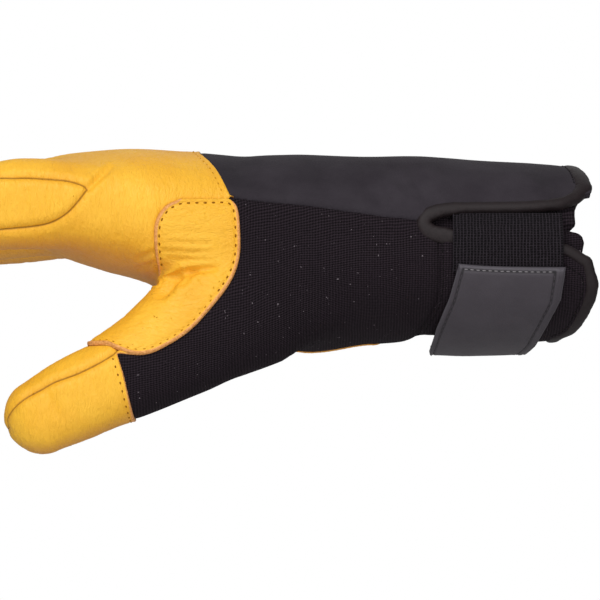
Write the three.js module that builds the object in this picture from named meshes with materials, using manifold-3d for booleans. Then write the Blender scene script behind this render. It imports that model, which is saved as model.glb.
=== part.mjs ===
// A right-hand mountaineering glove, shown in the form it has on a hand.
// Leather palm and fingers, softshell back, knitted thumb side, split cuff with a hook-and-loop strap.
// Millimetres. -X runs along the fingers, +X out of the cuff, +Z is the back of the hand, the thumb is at -Y.
// The origin is the middle of the wrist, under the strap.
import * as THREE from 'three';
import { mergeVertices } from 'three/addons/utils/BufferGeometryUtils.js';
import Module from 'manifold-3d';

const wasm = await Module();
wasm.setup();

const WALL = 2.6; // leather or cloth together with its lining
const SEAM_GAP = 0.3; // between two sewn pieces
const PATCH_LIFT = 0.9; // the patch lies lapped on its neighbours
const FAR = 120; // reaches past the glove on any side

// How finely the hand's outer and inner surfaces are divided.
const HAND_SIDES = 30;
const HAND_STEPS = 17;
const INNER_SIDES = 16;
const INNER_STEPS = 9;

// Sections of the hand, from the open cuff to the finger roots.
// top and palm are heights, thumbSide and littleSide are the two edges, square is the section's power.
const HAND = [
  { x: 34, top: 30.4, palm: -26.4, thumbSide: -41.0, littleSide: 43.0, square: 2.2 },
  { x: 13, top: 33.2, palm: -28.5, thumbSide: -41.5, littleSide: 43.5, square: 2.2 },
  { x: -8, top: 34.2, palm: -28.2, thumbSide: -40.5, littleSide: 42.5, square: 2.2 },
  { x: -27, top: 35.3, palm: -26.0, thumbSide: -39.5, littleSide: 41.5, square: 2.2 },
  { x: -45, top: 35.5, palm: -29.4, thumbSide: -39.8, littleSide: 42.0, square: 2.2 },
  { x: -65, top: 36.0, palm: -32.0, thumbSide: -42.0, littleSide: 44.0, square: 2.3 },
  { x: -85, top: 35.2, palm: -26.0, thumbSide: -45.0, littleSide: 46.5, square: 2.4 },
  { x: -103, top: 36.9, palm: -16.0, thumbSide: -48.0, littleSide: 48.5, square: 2.5 },
  { x: -120, top: 37.7, palm: -7.8, thumbSide: -50.0, littleSide: 49.0, square: 2.6 },
  { x: -134, top: 37.0, palm: -4.0, thumbSide: -50.0, littleSide: 48.5, square: 2.6 },
  { x: -148, top: 35.0, palm: 0.6, thumbSide: -49.6, littleSide: 47.0, square: 2.6 },
  { x: -158, top: 29.5, palm: 5.6, thumbSide: -47.0, littleSide: 45.0, square: 2.6 },
];

// Centre line and half sizes of each finger, from inside the palm to near its tip.
const FINGERS = {
  index: [
    { x: -124, y: -35.5, z: 16.6, wide: 12.6, high: 14.2 },
    { x: -150, y: -37.3, z: 18.0, wide: 12.7, high: 15.2 },
    { x: -172, y: -38.8, z: 17.0, wide: 12.6, high: 14.6 },
    { x: -192, y: -40.0, z: 14.4, wide: 12.2, high: 13.4 },
    { x: -209, y: -40.8, z: 10.6, wide: 11.6, high: 12.0 },
    { x: -219, y: -41.2, z: 7.8, wide: 9.8, high: 9.8 },
  ],
  middle: [
    { x: -124, y: -11.8, z: 19.0, wide: 12.6, high: 14.0 },
    { x: -152, y: -12.4, z: 20.0, wide: 12.8, high: 14.2 },
    { x: -178, y: -12.9, z: 17.0, wide: 12.8, high: 13.7 },
    { x: -200, y: -13.3, z: 13.0, wide: 12.4, high: 12.9 },
    { x: -219, y: -13.6, z: 8.4, wide: 11.8, high: 11.8 },
    { x: -230, y: -13.7, z: 5.2, wide: 10.0, high: 9.6 },
  ],
  ring: [
    { x: -122, y: 12.4, z: 16.4, wide: 12.3, high: 13.6 },
    { x: -150, y: 12.6, z: 15.8, wide: 12.4, high: 13.8 },
    { x: -174, y: 13.2, z: 12.8, wide: 12.4, high: 13.2 },
    { x: -194, y: 13.8, z: 8.4, wide: 12.0, high: 12.4 },
    { x: -211, y: 14.2, z: 3.6, wide: 11.4, high: 11.4 },
    { x: -221, y: 14.4, z: 0.4, wide: 9.6, high: 9.4 },
  ],
  little: [
    { x: -118, y: 36.2, z: 12.8, wide: 11.2, high: 12.4 },
    { x: -144, y: 36.6, z: 13.4, wide: 11.4, high: 12.4 },
    { x: -165, y: 38.2, z: 10.9, wide: 11.3, high: 11.9 },
    { x: -182, y: 39.6, z: 9.4, wide: 10.9, high: 11.2 },
    { x: -196, y: 40.8, z: 6.4, wide: 10.2, high: 10.2 },
    { x: -204, y: 41.4, z: 4.4, wide: 8.6, high: 8.4 },
  ],
};

// The thumb, from the base of the palm to near its tip. high is across it in the side view.
const THUMB = [
  { x: -58, y: -20, z: -8, wide: 16.0, high: 19.0 },
  { x: -80, y: -27, z: -14.2, wide: 18.0, high: 21.6 },
  { x: -95, y: -33.5, z: -20.4, wide: 17.6, high: 21.2 },
  { x: -106.5, y: -38.0, z: -28.0, wide: 16.2, high: 18.9 },
  { x: -117.6, y: -42.0, z: -35.0, wide: 14.8, high: 16.2 },
  { x: -129.8, y: -45.5, z: -41.4, wide: 13.9, high: 14.6 },
  { x: -141.5, y: -48.0, z: -47.0, wide: 13.2, high: 14.2 },
  { x: -152.3, y: -49.5, z: -52.6, wide: 11.7, high: 12.6 },
];

// Folds pressed into the thumb side, each a straight groove in the side view.
const FOLDS = [
  { fromX: -137, fromZ: 23, toX: -129, toZ: 31, deep: 1.2, wide: 4 }, // at the index knuckle
  { fromX: -112, fromZ: -12, toX: -104, toZ: -5, deep: 1.4, wide: 4 }, // between thumb and palm
  { fromX: -104, fromZ: -5, toX: -93, toZ: -4, deep: 1.2, wide: 4 },
  { fromX: -87, fromZ: 30, toX: -80, toZ: 24, deep: 1.0, wide: 6 }, // in the softshell
  { fromX: -30, fromZ: 30, toX: -24, toZ: 20, deep: 1.0, wide: 4 },
  { fromX: -34, fromZ: -6, toX: -28, toZ: -20, deep: 0.9, wide: 4 }, // where the knit meets the cuff
];

// Outlines in the side view, as [x, z].
const INDEX_PANEL = [
  [-136.9, 23], [-140, 18.6], [-144.5, 14], [-151.5, 10.7], [-166, 9], [-182, 7.4], [-198, 4.6], [-211, 3.2],
  [-217, 4.6], [-219.5, 8], [-217, 12.4], [-208, 17.2], [-195, 21.2], [-180, 24.6], [-166, 26.7], [-150, 26.2],
  [-142, 25.2],
];
const PANEL_START = 0.2; // of a finger's table, where its side panels open
const DIGIT_SQUARE = 2.3; // the power of a finger's section
const TIP_SEAM_REACH = 16; // from a finger's last row past its tip
const LEATHER_FRONT_EDGE = [
  [-101, 60], [-101, 38], [-99.5, 34.6], [-97, 32.2], [-94.6, 29.4], [-92.2, 25], [-90, 20.4],
];
const BACK_TO_KNIT_SEAM = [[-78, 19], [-64.5, 17.7], [-52.3, 16], [-40, 14.3], [-33.5, 13.6], [-27.4, 12.6]];
const KNIT_TO_CUFF_SEAM = [[-20.5, 5], [-20, -5], [-20.5, -13], [-22.2, -18.6], [-25.3, -24.6], [-27, -34]];
const CAP_EDGE = [
  [-127, -31.4], [-125.3, -36.7], [-123.7, -42.3], [-122.3, -48.7], [-121.2, -54], [-119, -75],
];
const THUMB_SEAM = [
  [-127.6, -31.6], [-132.4, -34.4], [-139.7, -38], [-147, -40.7], [-152.4, -43.7], [-157, -46.4], [-160.7, -49.7],
  [-163, -53.4], [-163.4, -57], [-175, -60],
];
const PATCH_FRONT_EDGE = [
  [-113.4, -9.6], [-114.7, -3.3], [-115.7, 4], [-115.6, 12], [-112.3, 17.4], [-107, 19.6],
];
const PATCH_BACK_EDGE = [
  [-90.6, 19.6], [-87.6, 16.6], [-86.6, 9.3], [-86.8, 0], [-90, -8.7], [-98, -19], [-103.7, -24.7], [-110.3, -29],
  [-116, -31.6], [-121.6, -32], [-127, -30.4], [-131, -28.4], [-138.3, -28],
];
const PATCH_OVER_THUMB = [[-148, -26], [-140, -18], [-126, -12.4], [-117, -10.3]];
const PATCH_END_Y = -27; // on the thumb's palm side

// Outlines seen from above, as [x, y].
const KNIT_PALM_EDGE = [[-119, -38], [-106, -28], [-92, -12], [-80, 3], [-66, 10], [-40, 12], [-10, 12]];
const LITTLE_SIDE_BACK_EDGE = [[-101, 60], [-101, 30], [-98, 10], [-94, 3]];
const LITTLE_SIDE_SEAM = [
  [-92, 3], [-118, 10.4], [-144, 13.4], [-165, 10.9], [-182, 9.4], [-196, 6.4], [-207, 3.5],
];

// The cuff. HEM is the open end's outline in the side view.
const HEM = [
  [20, -45], [21.3, -28.4], [27, -24.2], [31.2, -15.8], [32.4, -9], [31, -3], [27, 4], [27.4, 14], [30.2, 19.5],
  [31.2, 24], [30.2, 29], [28.6, 32], [25, 45],
];
const HEM_SHARE = 0.06; // of the hand's table, where the hem lies
const CUFF_PALM_X = -38; // the palm leather ends here
const CUFF_PALM_Y = -14; // the knit's end on the palm side
const SLIT_TOP_EDGE = [[-26.4, 13.2], [-24, 15], [-20, 16.4], [-8, 17.3], [8, 17.6], [20, 18.8], [26, 21.2]];
const SLIT_LOW_EDGE = [
  [-26.4, 11.2], [-24.6, 9.4], [-21, 7.9], [-12, 6.6], [2, 5.6], [14, 4.6], [22, 2.6], [29, -1.6],
];
const BINDING_RADIUS = 1.9;
// The tapes run round the hem from the little finger's side to the slit. Turns are angles round the wrist.
const BINDING_SEAM_TURN = 0.06; // the tapes' ends stay apart
const BACK_TAPE_TURN = 2.3;
const PALM_TAPE_TURN = 3.55;
const BACK_TAPE_STEPS = 34;
const PALM_TAPE_STEPS = 38;
const GUSSET_THICK = 1.2;
const GUSSET_OVERLAP = 4;

// The strap: an elastic over the slit, sewn to a tab that wraps under the wrist.
const STRAP_LIFT = 0.9;
const STRAP_THICK = 1.6;
const ELASTIC = [[-15.7, 15], [-15.7, -2.5], [20.8, -2.5], [20.8, 15]];
const TAB = [
  [-13.7, -2.8], [-16.6, -14], [-21, -25], [-24, -36], [5, -36], [13.3, -26.3], [20.3, -13], [21.4, -2.8],
];
const TAB_LIFT = 2.2;
const TAB_THICK = 2.2;
const TAB_END_Y = 16;

// Each material's colour and roughness.
const LEATHER = { color: 0xf3b535, roughness: 0.55, metalness: 0 };
const SOFTSHELL = { color: 0x37343a, roughness: 0.8, metalness: 0 };
const KNIT = { color: 0x231d23, roughness: 0.95, metalness: 0 };
const BINDING = { color: 0x2a2526, roughness: 0.85, metalness: 0 };
const WEBBING = { color: 0x1e1a1f, roughness: 0.9, metalness: 0 };
const TAB_SKIN = { color: 0x3c393e, roughness: 0.5, metalness: 0 };

const glove = new THREE.Group();

// A manifold from a three.js geometry.
function solid(geometry) {
  const bare = new THREE.BufferGeometry().setAttribute('position', geometry.getAttribute('position'));
  if (geometry.index) bare.setIndex(geometry.index);
  const merged = mergeVertices(bare, 1e-4);
  return new wasm.Manifold(new wasm.Mesh({
    numProp: 3,
    vertProperties: merged.getAttribute('position').array,
    triVerts: new Uint32Array(merged.index.array),
  }));
}

// Adds a manifold's largest body as a named mesh.
function addPiece(name, manifold, material) {
  const body = manifold.decompose().sort((a, b) => b.volume() - a.volume())[0];
  const mesh = body.simplify(0.02).getMesh();
  const geometry = new THREE.BufferGeometry();
  geometry.setAttribute('position', new THREE.BufferAttribute(mesh.vertProperties, 3));
  geometry.setIndex(new THREE.BufferAttribute(mesh.triVerts, 1));
  geometry.computeVertexNormals();
  const piece = new THREE.Mesh(geometry, new THREE.MeshStandardMaterial(material));
  piece.name = name;
  glove.add(piece);
}

const joined = (solids) => solids.reduce((all, one) => all.add(one));
const ringTurn = (i, sides) => (i / sides) * 2 * Math.PI;

// The cosine or sine of a superellipse.
const squared = (value, power) => Math.sign(value) * Math.abs(value) ** (2 / power);

// Closed skin over rings of equal point counts, with a fan at each end.
function skin(rings) {
  const sides = rings[0].length;
  const points = rings.flat();
  const index = [];
  for (let r = 1; r < rings.length; r++) {
    for (let i = 0; i < sides; i++) {
      const a = (r - 1) * sides + i;
      const b = (r - 1) * sides + ((i + 1) % sides);
      index.push(a, b, a + sides, b, b + sides, a + sides);
    }
  }
  const first = new THREE.Vector3();
  const last = new THREE.Vector3();
  rings[0].forEach((p) => first.addScaledVector(p, 1 / sides));
  rings.at(-1).forEach((p) => last.addScaledVector(p, 1 / sides));
  const start = points.push(first, last) - 2;
  const end = (rings.length - 1) * sides;
  for (let i = 0; i < sides; i++) {
    const next = (i + 1) % sides;
    index.push(start, next, i, start + 1, end + i, end + next);
  }
  const geometry = new THREE.BufferGeometry().setFromPoints(points);
  geometry.setIndex(index);
  return solid(geometry);
}

// Every column of a table as a smooth function of a share from 0 to 1 along its rows.
function columns(rows) {
  const names = Object.keys(rows[0]);
  const curve = (name) => new THREE.CatmullRomCurve3(rows.map((row) => new THREE.Vector3(row[name])));
  const curves = names.map(curve);
  return (share) => Object.fromEntries(names.map((name, i) => [name, curves[i].getPoint(share).x]));
}

// The hand's section at a share of its length: its middle and half sizes.
const handRow = columns(HAND);
function handSection(share) {
  const row = handRow(share);
  return {
    x: row.x,
    y: (row.thumbSide + row.littleSide) / 2,
    z: (row.top + row.palm) / 2,
    wide: (row.littleSide - row.thumbSide) / 2,
    high: (row.top - row.palm) / 2,
    square: row.square,
  };
}

// How deep the folds press into the surface at a point.
function foldDepth(point) {
  if (point.y > 0) return 0;
  return FOLDS.reduce((depth, fold) => {
    const from = new THREE.Vector3(fold.fromX, 0, fold.fromZ);
    const line = new THREE.Line3(from, new THREE.Vector3(fold.toX, 0, fold.toZ));
    const here = new THREE.Vector3(point.x, 0, point.z);
    const away = line.closestPointToPoint(here, true, new THREE.Vector3()).distanceTo(here);
    return depth + fold.deep * Math.exp(-((away / fold.wide) ** 2));
  }, 0);
}

// The palm and wrist, inset by a wall. Past the cuff's end it reaches a little further.
function hand(inset, sides, steps, reach) {
  const rings = [];
  for (let step = 0; step <= steps; step++) {
    const s = handSection(step / steps);
    if (step === 0) s.x += reach;
    if (step === steps) s.x += Math.max(inset, 0);
    rings.push(Array.from({ length: sides }, (_, i) => {
      const y = squared(Math.cos(ringTurn(i, sides)), s.square);
      const z = squared(Math.sin(ringTurn(i, sides)), s.square);
      const point = new THREE.Vector3(s.x, s.y + (s.wide - inset) * y, s.z + (s.high - inset) * z);
      const depth = inset > 0 ? 0 : foldDepth(point);
      return point.add(new THREE.Vector3(0, -depth * y, -depth * z));
    }));
  }
  return skin(rings.reverse());
}

// A finger or the thumb: rings across its centre line, closed by a round tip.
function digit(rows, inset, sides, steps) {
  const row = columns(rows);
  const line = new THREE.CatmullRomCurve3(rows.map((r) => new THREE.Vector3(r.x, r.y, r.z)));
  const tipSteps = inset > 0 ? 2 : 4;
  const rings = [];
  for (let step = 0; step <= steps + tipSteps; step++) {
    const share = Math.min(1, step / steps);
    const s = row(share);
    const along = line.getTangent(share);
    const across = new THREE.Vector3(0, 1, 0).addScaledVector(along, -along.y).normalize();
    const up = new THREE.Vector3().crossVectors(along, across);
    const bend = (Math.max(0, step - steps) / (tipSteps + 0.4)) * (Math.PI / 2);
    const wide = (s.wide - inset) * Math.cos(bend);
    const high = (s.high - inset) * Math.cos(bend);
    const centre = line.getPoint(share).addScaledVector(along, (s.wide - inset) * Math.sin(bend));
    rings.push(Array.from({ length: sides }, (_, i) => centre.clone()
      .addScaledVector(across, wide * squared(Math.cos(ringTurn(i, sides)), DIGIT_SQUARE))
      .addScaledVector(up, high * squared(Math.sin(ringTurn(i, sides)), DIGIT_SQUARE))));
  }
  return skin(rings);
}

// The whole glove's form inset by a wall. A negative inset gives a layer on top. Inner forms are coarser.
function form(inset) {
  const inner = inset > 0;
  const fingers = Object.values(FINGERS).map((rows) => digit(rows, inset, inner ? 9 : 12, inner ? 4 : 7));
  const palm = hand(inset, inner ? INNER_SIDES : HAND_SIDES, inner ? INNER_STEPS : HAND_STEPS, inner ? 4 : 0);
  return joined([palm, digit(THUMB, inset, inner ? 10 : 15, inner ? 5 : 9), ...fingers]);
}

// The wrist and cuff alone, for the layers on it.
function cuffLayer(inner, outer) {
  return hand(-outer, HAND_SIDES, HAND_STEPS, 0).subtract(hand(-inner, HAND_SIDES, HAND_STEPS, 2));
}

// Outline points moved outward by a distance.
function grown(points, by) {
  const turn = THREE.ShapeUtils.isClockWise(points) ? -1 : 1;
  return points.map((p, i) => {
    const before = new THREE.Vector2().subVectors(p, points.at(i - 1)).normalize();
    const after = new THREE.Vector2().subVectors(points[(i + 1) % points.length], p).normalize();
    const out = new THREE.Vector2(before.y + after.y, -before.x - after.x).normalize();
    const square = Math.max(0.4, out.dot(new THREE.Vector2(after.y, -after.x)));
    return p.clone().addScaledVector(out, (by * turn) / square);
  });
}

const straight = (points) => points.map((p) => new THREE.Vector2(...p));
const curved = (points, steps) => new THREE.SplineCurve(straight(points)).getPoints(steps);

// A region is a function from a growth to a solid. This one is a side-view outline between two planes.
function sideRegion(points, fromY, toY) {
  return (by) => {
    const shape = new THREE.Shape(grown(points, by));
    const geometry = new THREE.ExtrudeGeometry(shape, { depth: toY - fromY + 2 * by, bevelEnabled: false });
    return solid(geometry.rotateX(Math.PI / 2).translate(0, toY + by, 0));
  };
}

// An outline seen from above, between two heights.
function topRegion(points, fromZ, toZ) {
  return (by) => {
    const shape = new THREE.Shape(grown(points, by));
    const geometry = new THREE.ExtrudeGeometry(shape, { depth: toZ - fromZ + 2 * by, bevelEnabled: false });
    return solid(geometry.translate(0, 0, fromZ - by));
  };
}

const both = (a, b) => (by) => a(by).add(b(by));
const shared = (a, b) => (by) => a(by).intersect(b(by));

// A finger's side panel in the side view: it opens in a point at the finger's root and closes at the tip.
function sidePanel(rows) {
  const row = columns(rows);
  const upper = [];
  const lower = [];
  const steps = 8;
  for (let step = 0; step <= steps; step++) {
    const share = step / steps;
    const s = row(PANEL_START + (1 - PANEL_START) * share);
    const half = 0.56 * s.high * Math.sqrt(Math.min(1, 0.04 + share * 3)) * Math.sqrt(1.02 - share ** 6);
    upper.push(new THREE.Vector2(s.x, s.z + half));
    lower.push(new THREE.Vector2(s.x, s.z - half));
  }
  return [...upper, ...lower.reverse()];
}

// A point on the hand's surface on the thumb side (-1) or the little finger's side (1).
function surfacePoint(x, z, side, inset) {
  let share = 0.5;
  for (let step = 2; step < 14; step++) share += (handSection(share).x > x ? 1 : -1) / 2 ** step;
  const s = handSection(share);
  const across = Math.min(1, Math.abs((z - s.z) / (s.high - inset)));
  return new THREE.Vector3(x, s.y + side * (s.wide - inset) * (1 - across ** s.square) ** (1 / s.square), z);
}

// A rolled tape along points.
function tape(points, radius, steps) {
  const sides = 6;
  const outline = Array.from({ length: sides }, (_, i) => {
    const turn = ringTurn(i, sides);
    return new THREE.Vector2(radius * Math.cos(turn), radius * Math.sin(turn));
  });
  const path = new THREE.CatmullRomCurve3(points);
  return solid(new THREE.ExtrudeGeometry(new THREE.Shape(outline), { steps, extrudePath: path }));
}

// The hem runs round the open end at the x that HEM gives for its height.
const hemLine = curved(HEM, 60);
function hemPoint(turn) {
  const s = handSection(HEM_SHARE);
  const z = s.z + (s.high - WALL / 2) * squared(Math.sin(turn), s.square);
  const at = hemLine.reduce((a, b) => (Math.abs(b.y - z) < Math.abs(a.y - z) ? b : a));
  return surfacePoint(at.x, z, Math.sign(Math.cos(turn)), WALL / 2);
}
function hemPoints(from, to, count) {
  return Array.from({ length: count }, (_, i) => hemPoint(from + ((to - from) * i) / (count - 1)));
}
const slitPoints = (edge) => edge.map(([x, z]) => surfacePoint(x, z, -1, WALL / 2));

const backHem = hemPoints(BINDING_SEAM_TURN, BACK_TAPE_TURN, 9);
const palmHem = hemPoints(PALM_TAPE_TURN, 2 * Math.PI - BINDING_SEAM_TURN, 10);
const backTapeLine = [...backHem, ...slitPoints(SLIT_TOP_EDGE).reverse()];
const palmTapeLine = [...slitPoints(SLIT_LOW_EDGE), ...palmHem];
const backTape = tape(backTapeLine, BINDING_RADIUS, BACK_TAPE_STEPS);
const backTapeRoom = tape(backTapeLine, BINDING_RADIUS + SEAM_GAP, BACK_TAPE_STEPS);
const palmTape = tape(palmTapeLine, BINDING_RADIUS, PALM_TAPE_STEPS).subtract(backTapeRoom);
const tapeRoom = backTapeRoom.add(tape(palmTapeLine, BINDING_RADIUS + SEAM_GAP, PALM_TAPE_STEPS));

// Where each piece lies.
const midPlane = (a, b) => (FINGERS[a][2].y + FINGERS[b][2].y) / 2;
const between = (a, b) => both(
  sideRegion(sidePanel(FINGERS[a]), FINGERS[a][2].y, midPlane(a, b) + SEAM_GAP),
  sideRegion(sidePanel(FINGERS[b]), midPlane(a, b) - SEAM_GAP, FINGERS[b][2].y),
);
const patchArea = sideRegion(
  [...curved(PATCH_FRONT_EDGE, 10), ...curved(PATCH_BACK_EDGE, 18), ...straight(PATCH_OVER_THUMB)],
  -FAR, PATCH_END_Y,
);
const capArea = sideRegion(
  [...curved(CAP_EDGE.slice(0, 5), 8), ...straight([[-119, -75], [-175, -75], [-175, -26], [-148, -26]]),
    ...curved(PATCH_BACK_EDGE.slice(-4).reverse(), 8)], -FAR, 0,
);
const thumbFrontArea = sideRegion(
  [...curved(THUMB_SEAM, 12), ...straight([[-175, -20], [-120, -20]])], -FAR, 0,
);
const knitArea = shared(
  sideRegion(
    [...straight([[-119, -75], [-124, -40], [-127, -31], [-112, -20], [-100, 18], [-91, 18], [-90, 20.4]]),
      ...curved(BACK_TO_KNIT_SEAM, 12), ...curved(KNIT_TO_CUFF_SEAM, 10), ...straight([[-27, -75]])], -FAR, 0,
  ),
  topRegion([...curved(KNIT_PALM_EDGE, 10), ...straight([[-10, -100], [-160, -100], [-160, -60]])], -90, 40),
);
const softshellArea = both(
  sideRegion(
    [...straight([[60, 60]]), ...curved(LEATHER_FRONT_EDGE, 10), ...curved(BACK_TO_KNIT_SEAM, 12),
      ...straight([[-24, 10], [60, 10]])], -FAR, 0,
  ),
  sideRegion([...straight([[60, 60]]), ...curved(LITTLE_SIDE_BACK_EDGE, 8), ...straight([[60, 3]])], -0.5, FAR),
);
const cuffPalmArea = both(
  sideRegion(straight([[CUFF_PALM_X, -60], [CUFF_PALM_X, 3], [60, 3], [60, -60]]), CUFF_PALM_Y - 0.2, FAR),
  sideRegion(
    [...curved(KNIT_TO_CUFF_SEAM, 10), ...straight([[60, -60], [60, 12], [-24, 12]])], -FAR, CUFF_PALM_Y + 0.2,
  ),
);
const slit = sideRegion([...curved(SLIT_TOP_EDGE, 12), ...curved([...SLIT_LOW_EDGE].reverse(), 12)], -FAR, 0);
const cuffEnd = sideRegion([...curved(HEM, 24), ...straight([[-300, 60], [-300, -100]])], -FAR, FAR)(0);

// A hollow glove, cut at the hem and the slit, then shared out piece by piece.
const hollow = form(0).subtract(form(WALL)).intersect(cuffEnd);
let rest = hollow.subtract(slit(0)).subtract(tapeRoom);
function take(name, area, material) {
  addPiece(name, rest.intersect(area(-SEAM_GAP / 2)), material);
  rest = rest.subtract(area(SEAM_GAP / 2));
}

const raised = form(-PATCH_LIFT).subtract(form(WALL)).intersect(cuffEnd);
addPiece('thumb_patch', raised.intersect(patchArea(-SEAM_GAP / 2)), LEATHER);
rest = rest.subtract(patchArea(SEAM_GAP / 2));

const cap = rest.intersect(capArea(-SEAM_GAP / 2));
rest = rest.subtract(capArea(SEAM_GAP / 2));
addPiece('thumb_cap_front', cap.intersect(thumbFrontArea(-SEAM_GAP / 2)), LEATHER);
addPiece('thumb_cap_back', cap.subtract(thumbFrontArea(SEAM_GAP / 2)), LEATHER);

take('index_side_panel', sideRegion(curved(INDEX_PANEL, 20), -FAR, FINGERS.index[2].y), LEATHER);
take('fourchette_index_middle', between('index', 'middle'), LEATHER);
take('fourchette_middle_ring', between('middle', 'ring'), LEATHER);
take('fourchette_ring_little', between('ring', 'little'), LEATHER);
take('softshell_back', softshellArea, SOFTSHELL);
take('knit_panel', knitArea, KNIT);
take('cuff_palm_panel', cuffPalmArea, KNIT);

// A seam inside one piece: a thin cut along a line in the side view.
function cutSeam(line, fromY, toY) {
  const strip = [...line, ...line.map((p) => new THREE.Vector2(p.x, p.y + SEAM_GAP)).reverse()];
  rest = rest.subtract(sideRegion(strip, fromY, toY)(0));
}

// Back and palm of a finger meet in a seam over its tip.
function cutTipSeam(rows, fromY, toY) {
  const before = rows.at(-2);
  const last = rows.at(-1);
  const slope = (last.z - before.z) / (last.x - before.x);
  const end = [last.x - TIP_SEAM_REACH, last.z - slope * TIP_SEAM_REACH];
  cutSeam(straight([[last.x + 1, last.z + slope], end]), fromY, toY);
}

cutSeam(curved(LITTLE_SIDE_SEAM, 20), FINGERS.little[2].y, FAR);
cutTipSeam(FINGERS.index, -FAR, midPlane('index', 'middle'));
cutTipSeam(FINGERS.middle, midPlane('index', 'middle'), midPlane('middle', 'ring'));
cutTipSeam(FINGERS.ring, midPlane('middle', 'ring'), midPlane('ring', 'little'));
cutTipSeam(FINGERS.little, midPlane('ring', 'little'), FAR);
addPiece('leather_trank', rest, LEATHER);

addPiece('cuff_binding_back', backTape, BINDING);
addPiece('cuff_binding_palm', palmTape, BINDING);

const gussetLayer = hand(WALL + SEAM_GAP, INNER_SIDES, INNER_STEPS, 4)
  .subtract(hand(WALL + SEAM_GAP + GUSSET_THICK, INNER_SIDES, INNER_STEPS, 6));
const gusset = gussetLayer.intersect(slit(GUSSET_OVERLAP)).intersect(cuffEnd).subtract(tapeRoom);
addPiece('cuff_gusset', gusset, KNIT);

const elasticArea = sideRegion(straight(ELASTIC), -FAR, 0)(0);
const elastic = cuffLayer(STRAP_LIFT, STRAP_LIFT + STRAP_THICK).intersect(elasticArea);
addPiece('strap_elastic', elastic.subtract(tapeRoom), WEBBING);

const tabArea = sideRegion(curved(TAB, 16), -FAR, TAB_END_Y)(0);
const tab = cuffLayer(TAB_LIFT, TAB_LIFT + TAB_THICK).intersect(tabArea);
addPiece('strap_tab', tab.subtract(tapeRoom), TAB_SKIN);

export default glove;
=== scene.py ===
"""The look of the mountaineering glove: sewn leather, softshell, knit and strap, on a plain pale floor."""

import math

import bpy
import numpy as np
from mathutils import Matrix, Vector, noise
from mathutils.kdtree import KDTree


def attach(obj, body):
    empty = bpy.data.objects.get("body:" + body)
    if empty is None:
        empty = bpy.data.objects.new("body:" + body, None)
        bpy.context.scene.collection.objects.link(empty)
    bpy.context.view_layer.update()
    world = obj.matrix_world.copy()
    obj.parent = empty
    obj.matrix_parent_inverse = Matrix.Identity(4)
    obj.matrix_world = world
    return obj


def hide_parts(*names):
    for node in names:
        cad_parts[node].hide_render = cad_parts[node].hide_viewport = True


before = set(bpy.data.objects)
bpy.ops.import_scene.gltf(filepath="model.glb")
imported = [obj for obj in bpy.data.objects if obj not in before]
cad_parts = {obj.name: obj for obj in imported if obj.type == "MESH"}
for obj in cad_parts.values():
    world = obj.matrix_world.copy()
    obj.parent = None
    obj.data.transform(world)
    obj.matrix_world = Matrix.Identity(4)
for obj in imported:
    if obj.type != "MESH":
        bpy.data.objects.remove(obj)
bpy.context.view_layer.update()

# Lengths are in millimetres until a mesh is made.
# -X runs to the fingertips, -Y is the thumb side and +Z the back of the hand.
MM = 0.001

# Sections of the hand from cuff to finger roots: x, top, palm, thumb side, little side, power.
HAND = [
    (34, 30.4, -26.4, -41.0, 43.0, 2.2),
    (13, 33.2, -28.5, -41.5, 43.5, 2.2),
    (-8, 34.2, -28.2, -40.5, 42.5, 2.2),
    (-23.5, 35.1, -25.9, -39.6, 41.6, 2.2),
    (-32, 35.4, -28.2, -39.5, 41.5, 2.2),
    (-45, 35.5, -29.4, -39.8, 42.0, 2.2),
    (-65, 36.0, -32.0, -42.0, 44.0, 2.3),
    (-85, 35.2, -26.0, -45.0, 46.5, 2.4),
    (-103, 36.9, -16.0, -48.0, 48.5, 2.5),
    (-120, 37.7, -7.8, -50.0, 49.0, 2.6),
    (-134, 37.0, -4.0, -50.0, 48.5, 2.6),
    (-148, 35.0, 0.6, -49.6, 47.0, 2.6),
    (-158, 29.5, 5.6, -47.0, 45.0, 2.6),
]

# Centre line and half sizes of each finger and the thumb: x, y, z, wide, high.
INDEX = [
    (-124, -35.5, 16.6, 12.6, 14.2),
    (-150, -37.3, 18.0, 12.7, 15.2),
    (-172, -38.8, 17.0, 12.6, 14.6),
    (-192, -40.0, 14.4, 12.2, 13.4),
    (-209, -40.8, 10.6, 11.6, 12.0),
    (-219, -41.2, 7.8, 9.8, 9.8),
]
MIDDLE = [
    (-124, -11.8, 19.0, 12.6, 14.0),
    (-152, -12.4, 20.0, 12.8, 14.2),
    (-178, -12.9, 17.0, 12.8, 13.7),
    (-200, -13.3, 13.0, 12.4, 12.9),
    (-219, -13.6, 8.4, 11.8, 11.8),
    (-230, -13.7, 5.2, 10.0, 9.6),
]
RING = [
    (-122, 12.4, 16.4, 12.3, 13.6),
    (-150, 12.6, 15.8, 12.4, 13.8),
    (-174, 13.2, 12.8, 12.4, 13.2),
    (-194, 13.8, 8.4, 12.0, 12.4),
    (-211, 14.2, 3.6, 11.4, 11.4),
    (-221, 14.4, 0.4, 9.6, 9.4),
]
LITTLE = [
    (-118, 36.2, 12.8, 11.2, 12.4),
    (-144, 36.6, 13.4, 11.4, 12.4),
    (-165, 38.2, 10.9, 11.3, 11.9),
    (-182, 39.6, 9.4, 10.9, 11.2),
    (-196, 40.8, 6.4, 10.2, 10.2),
    (-204, 41.4, 4.4, 8.6, 8.4),
]
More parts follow.
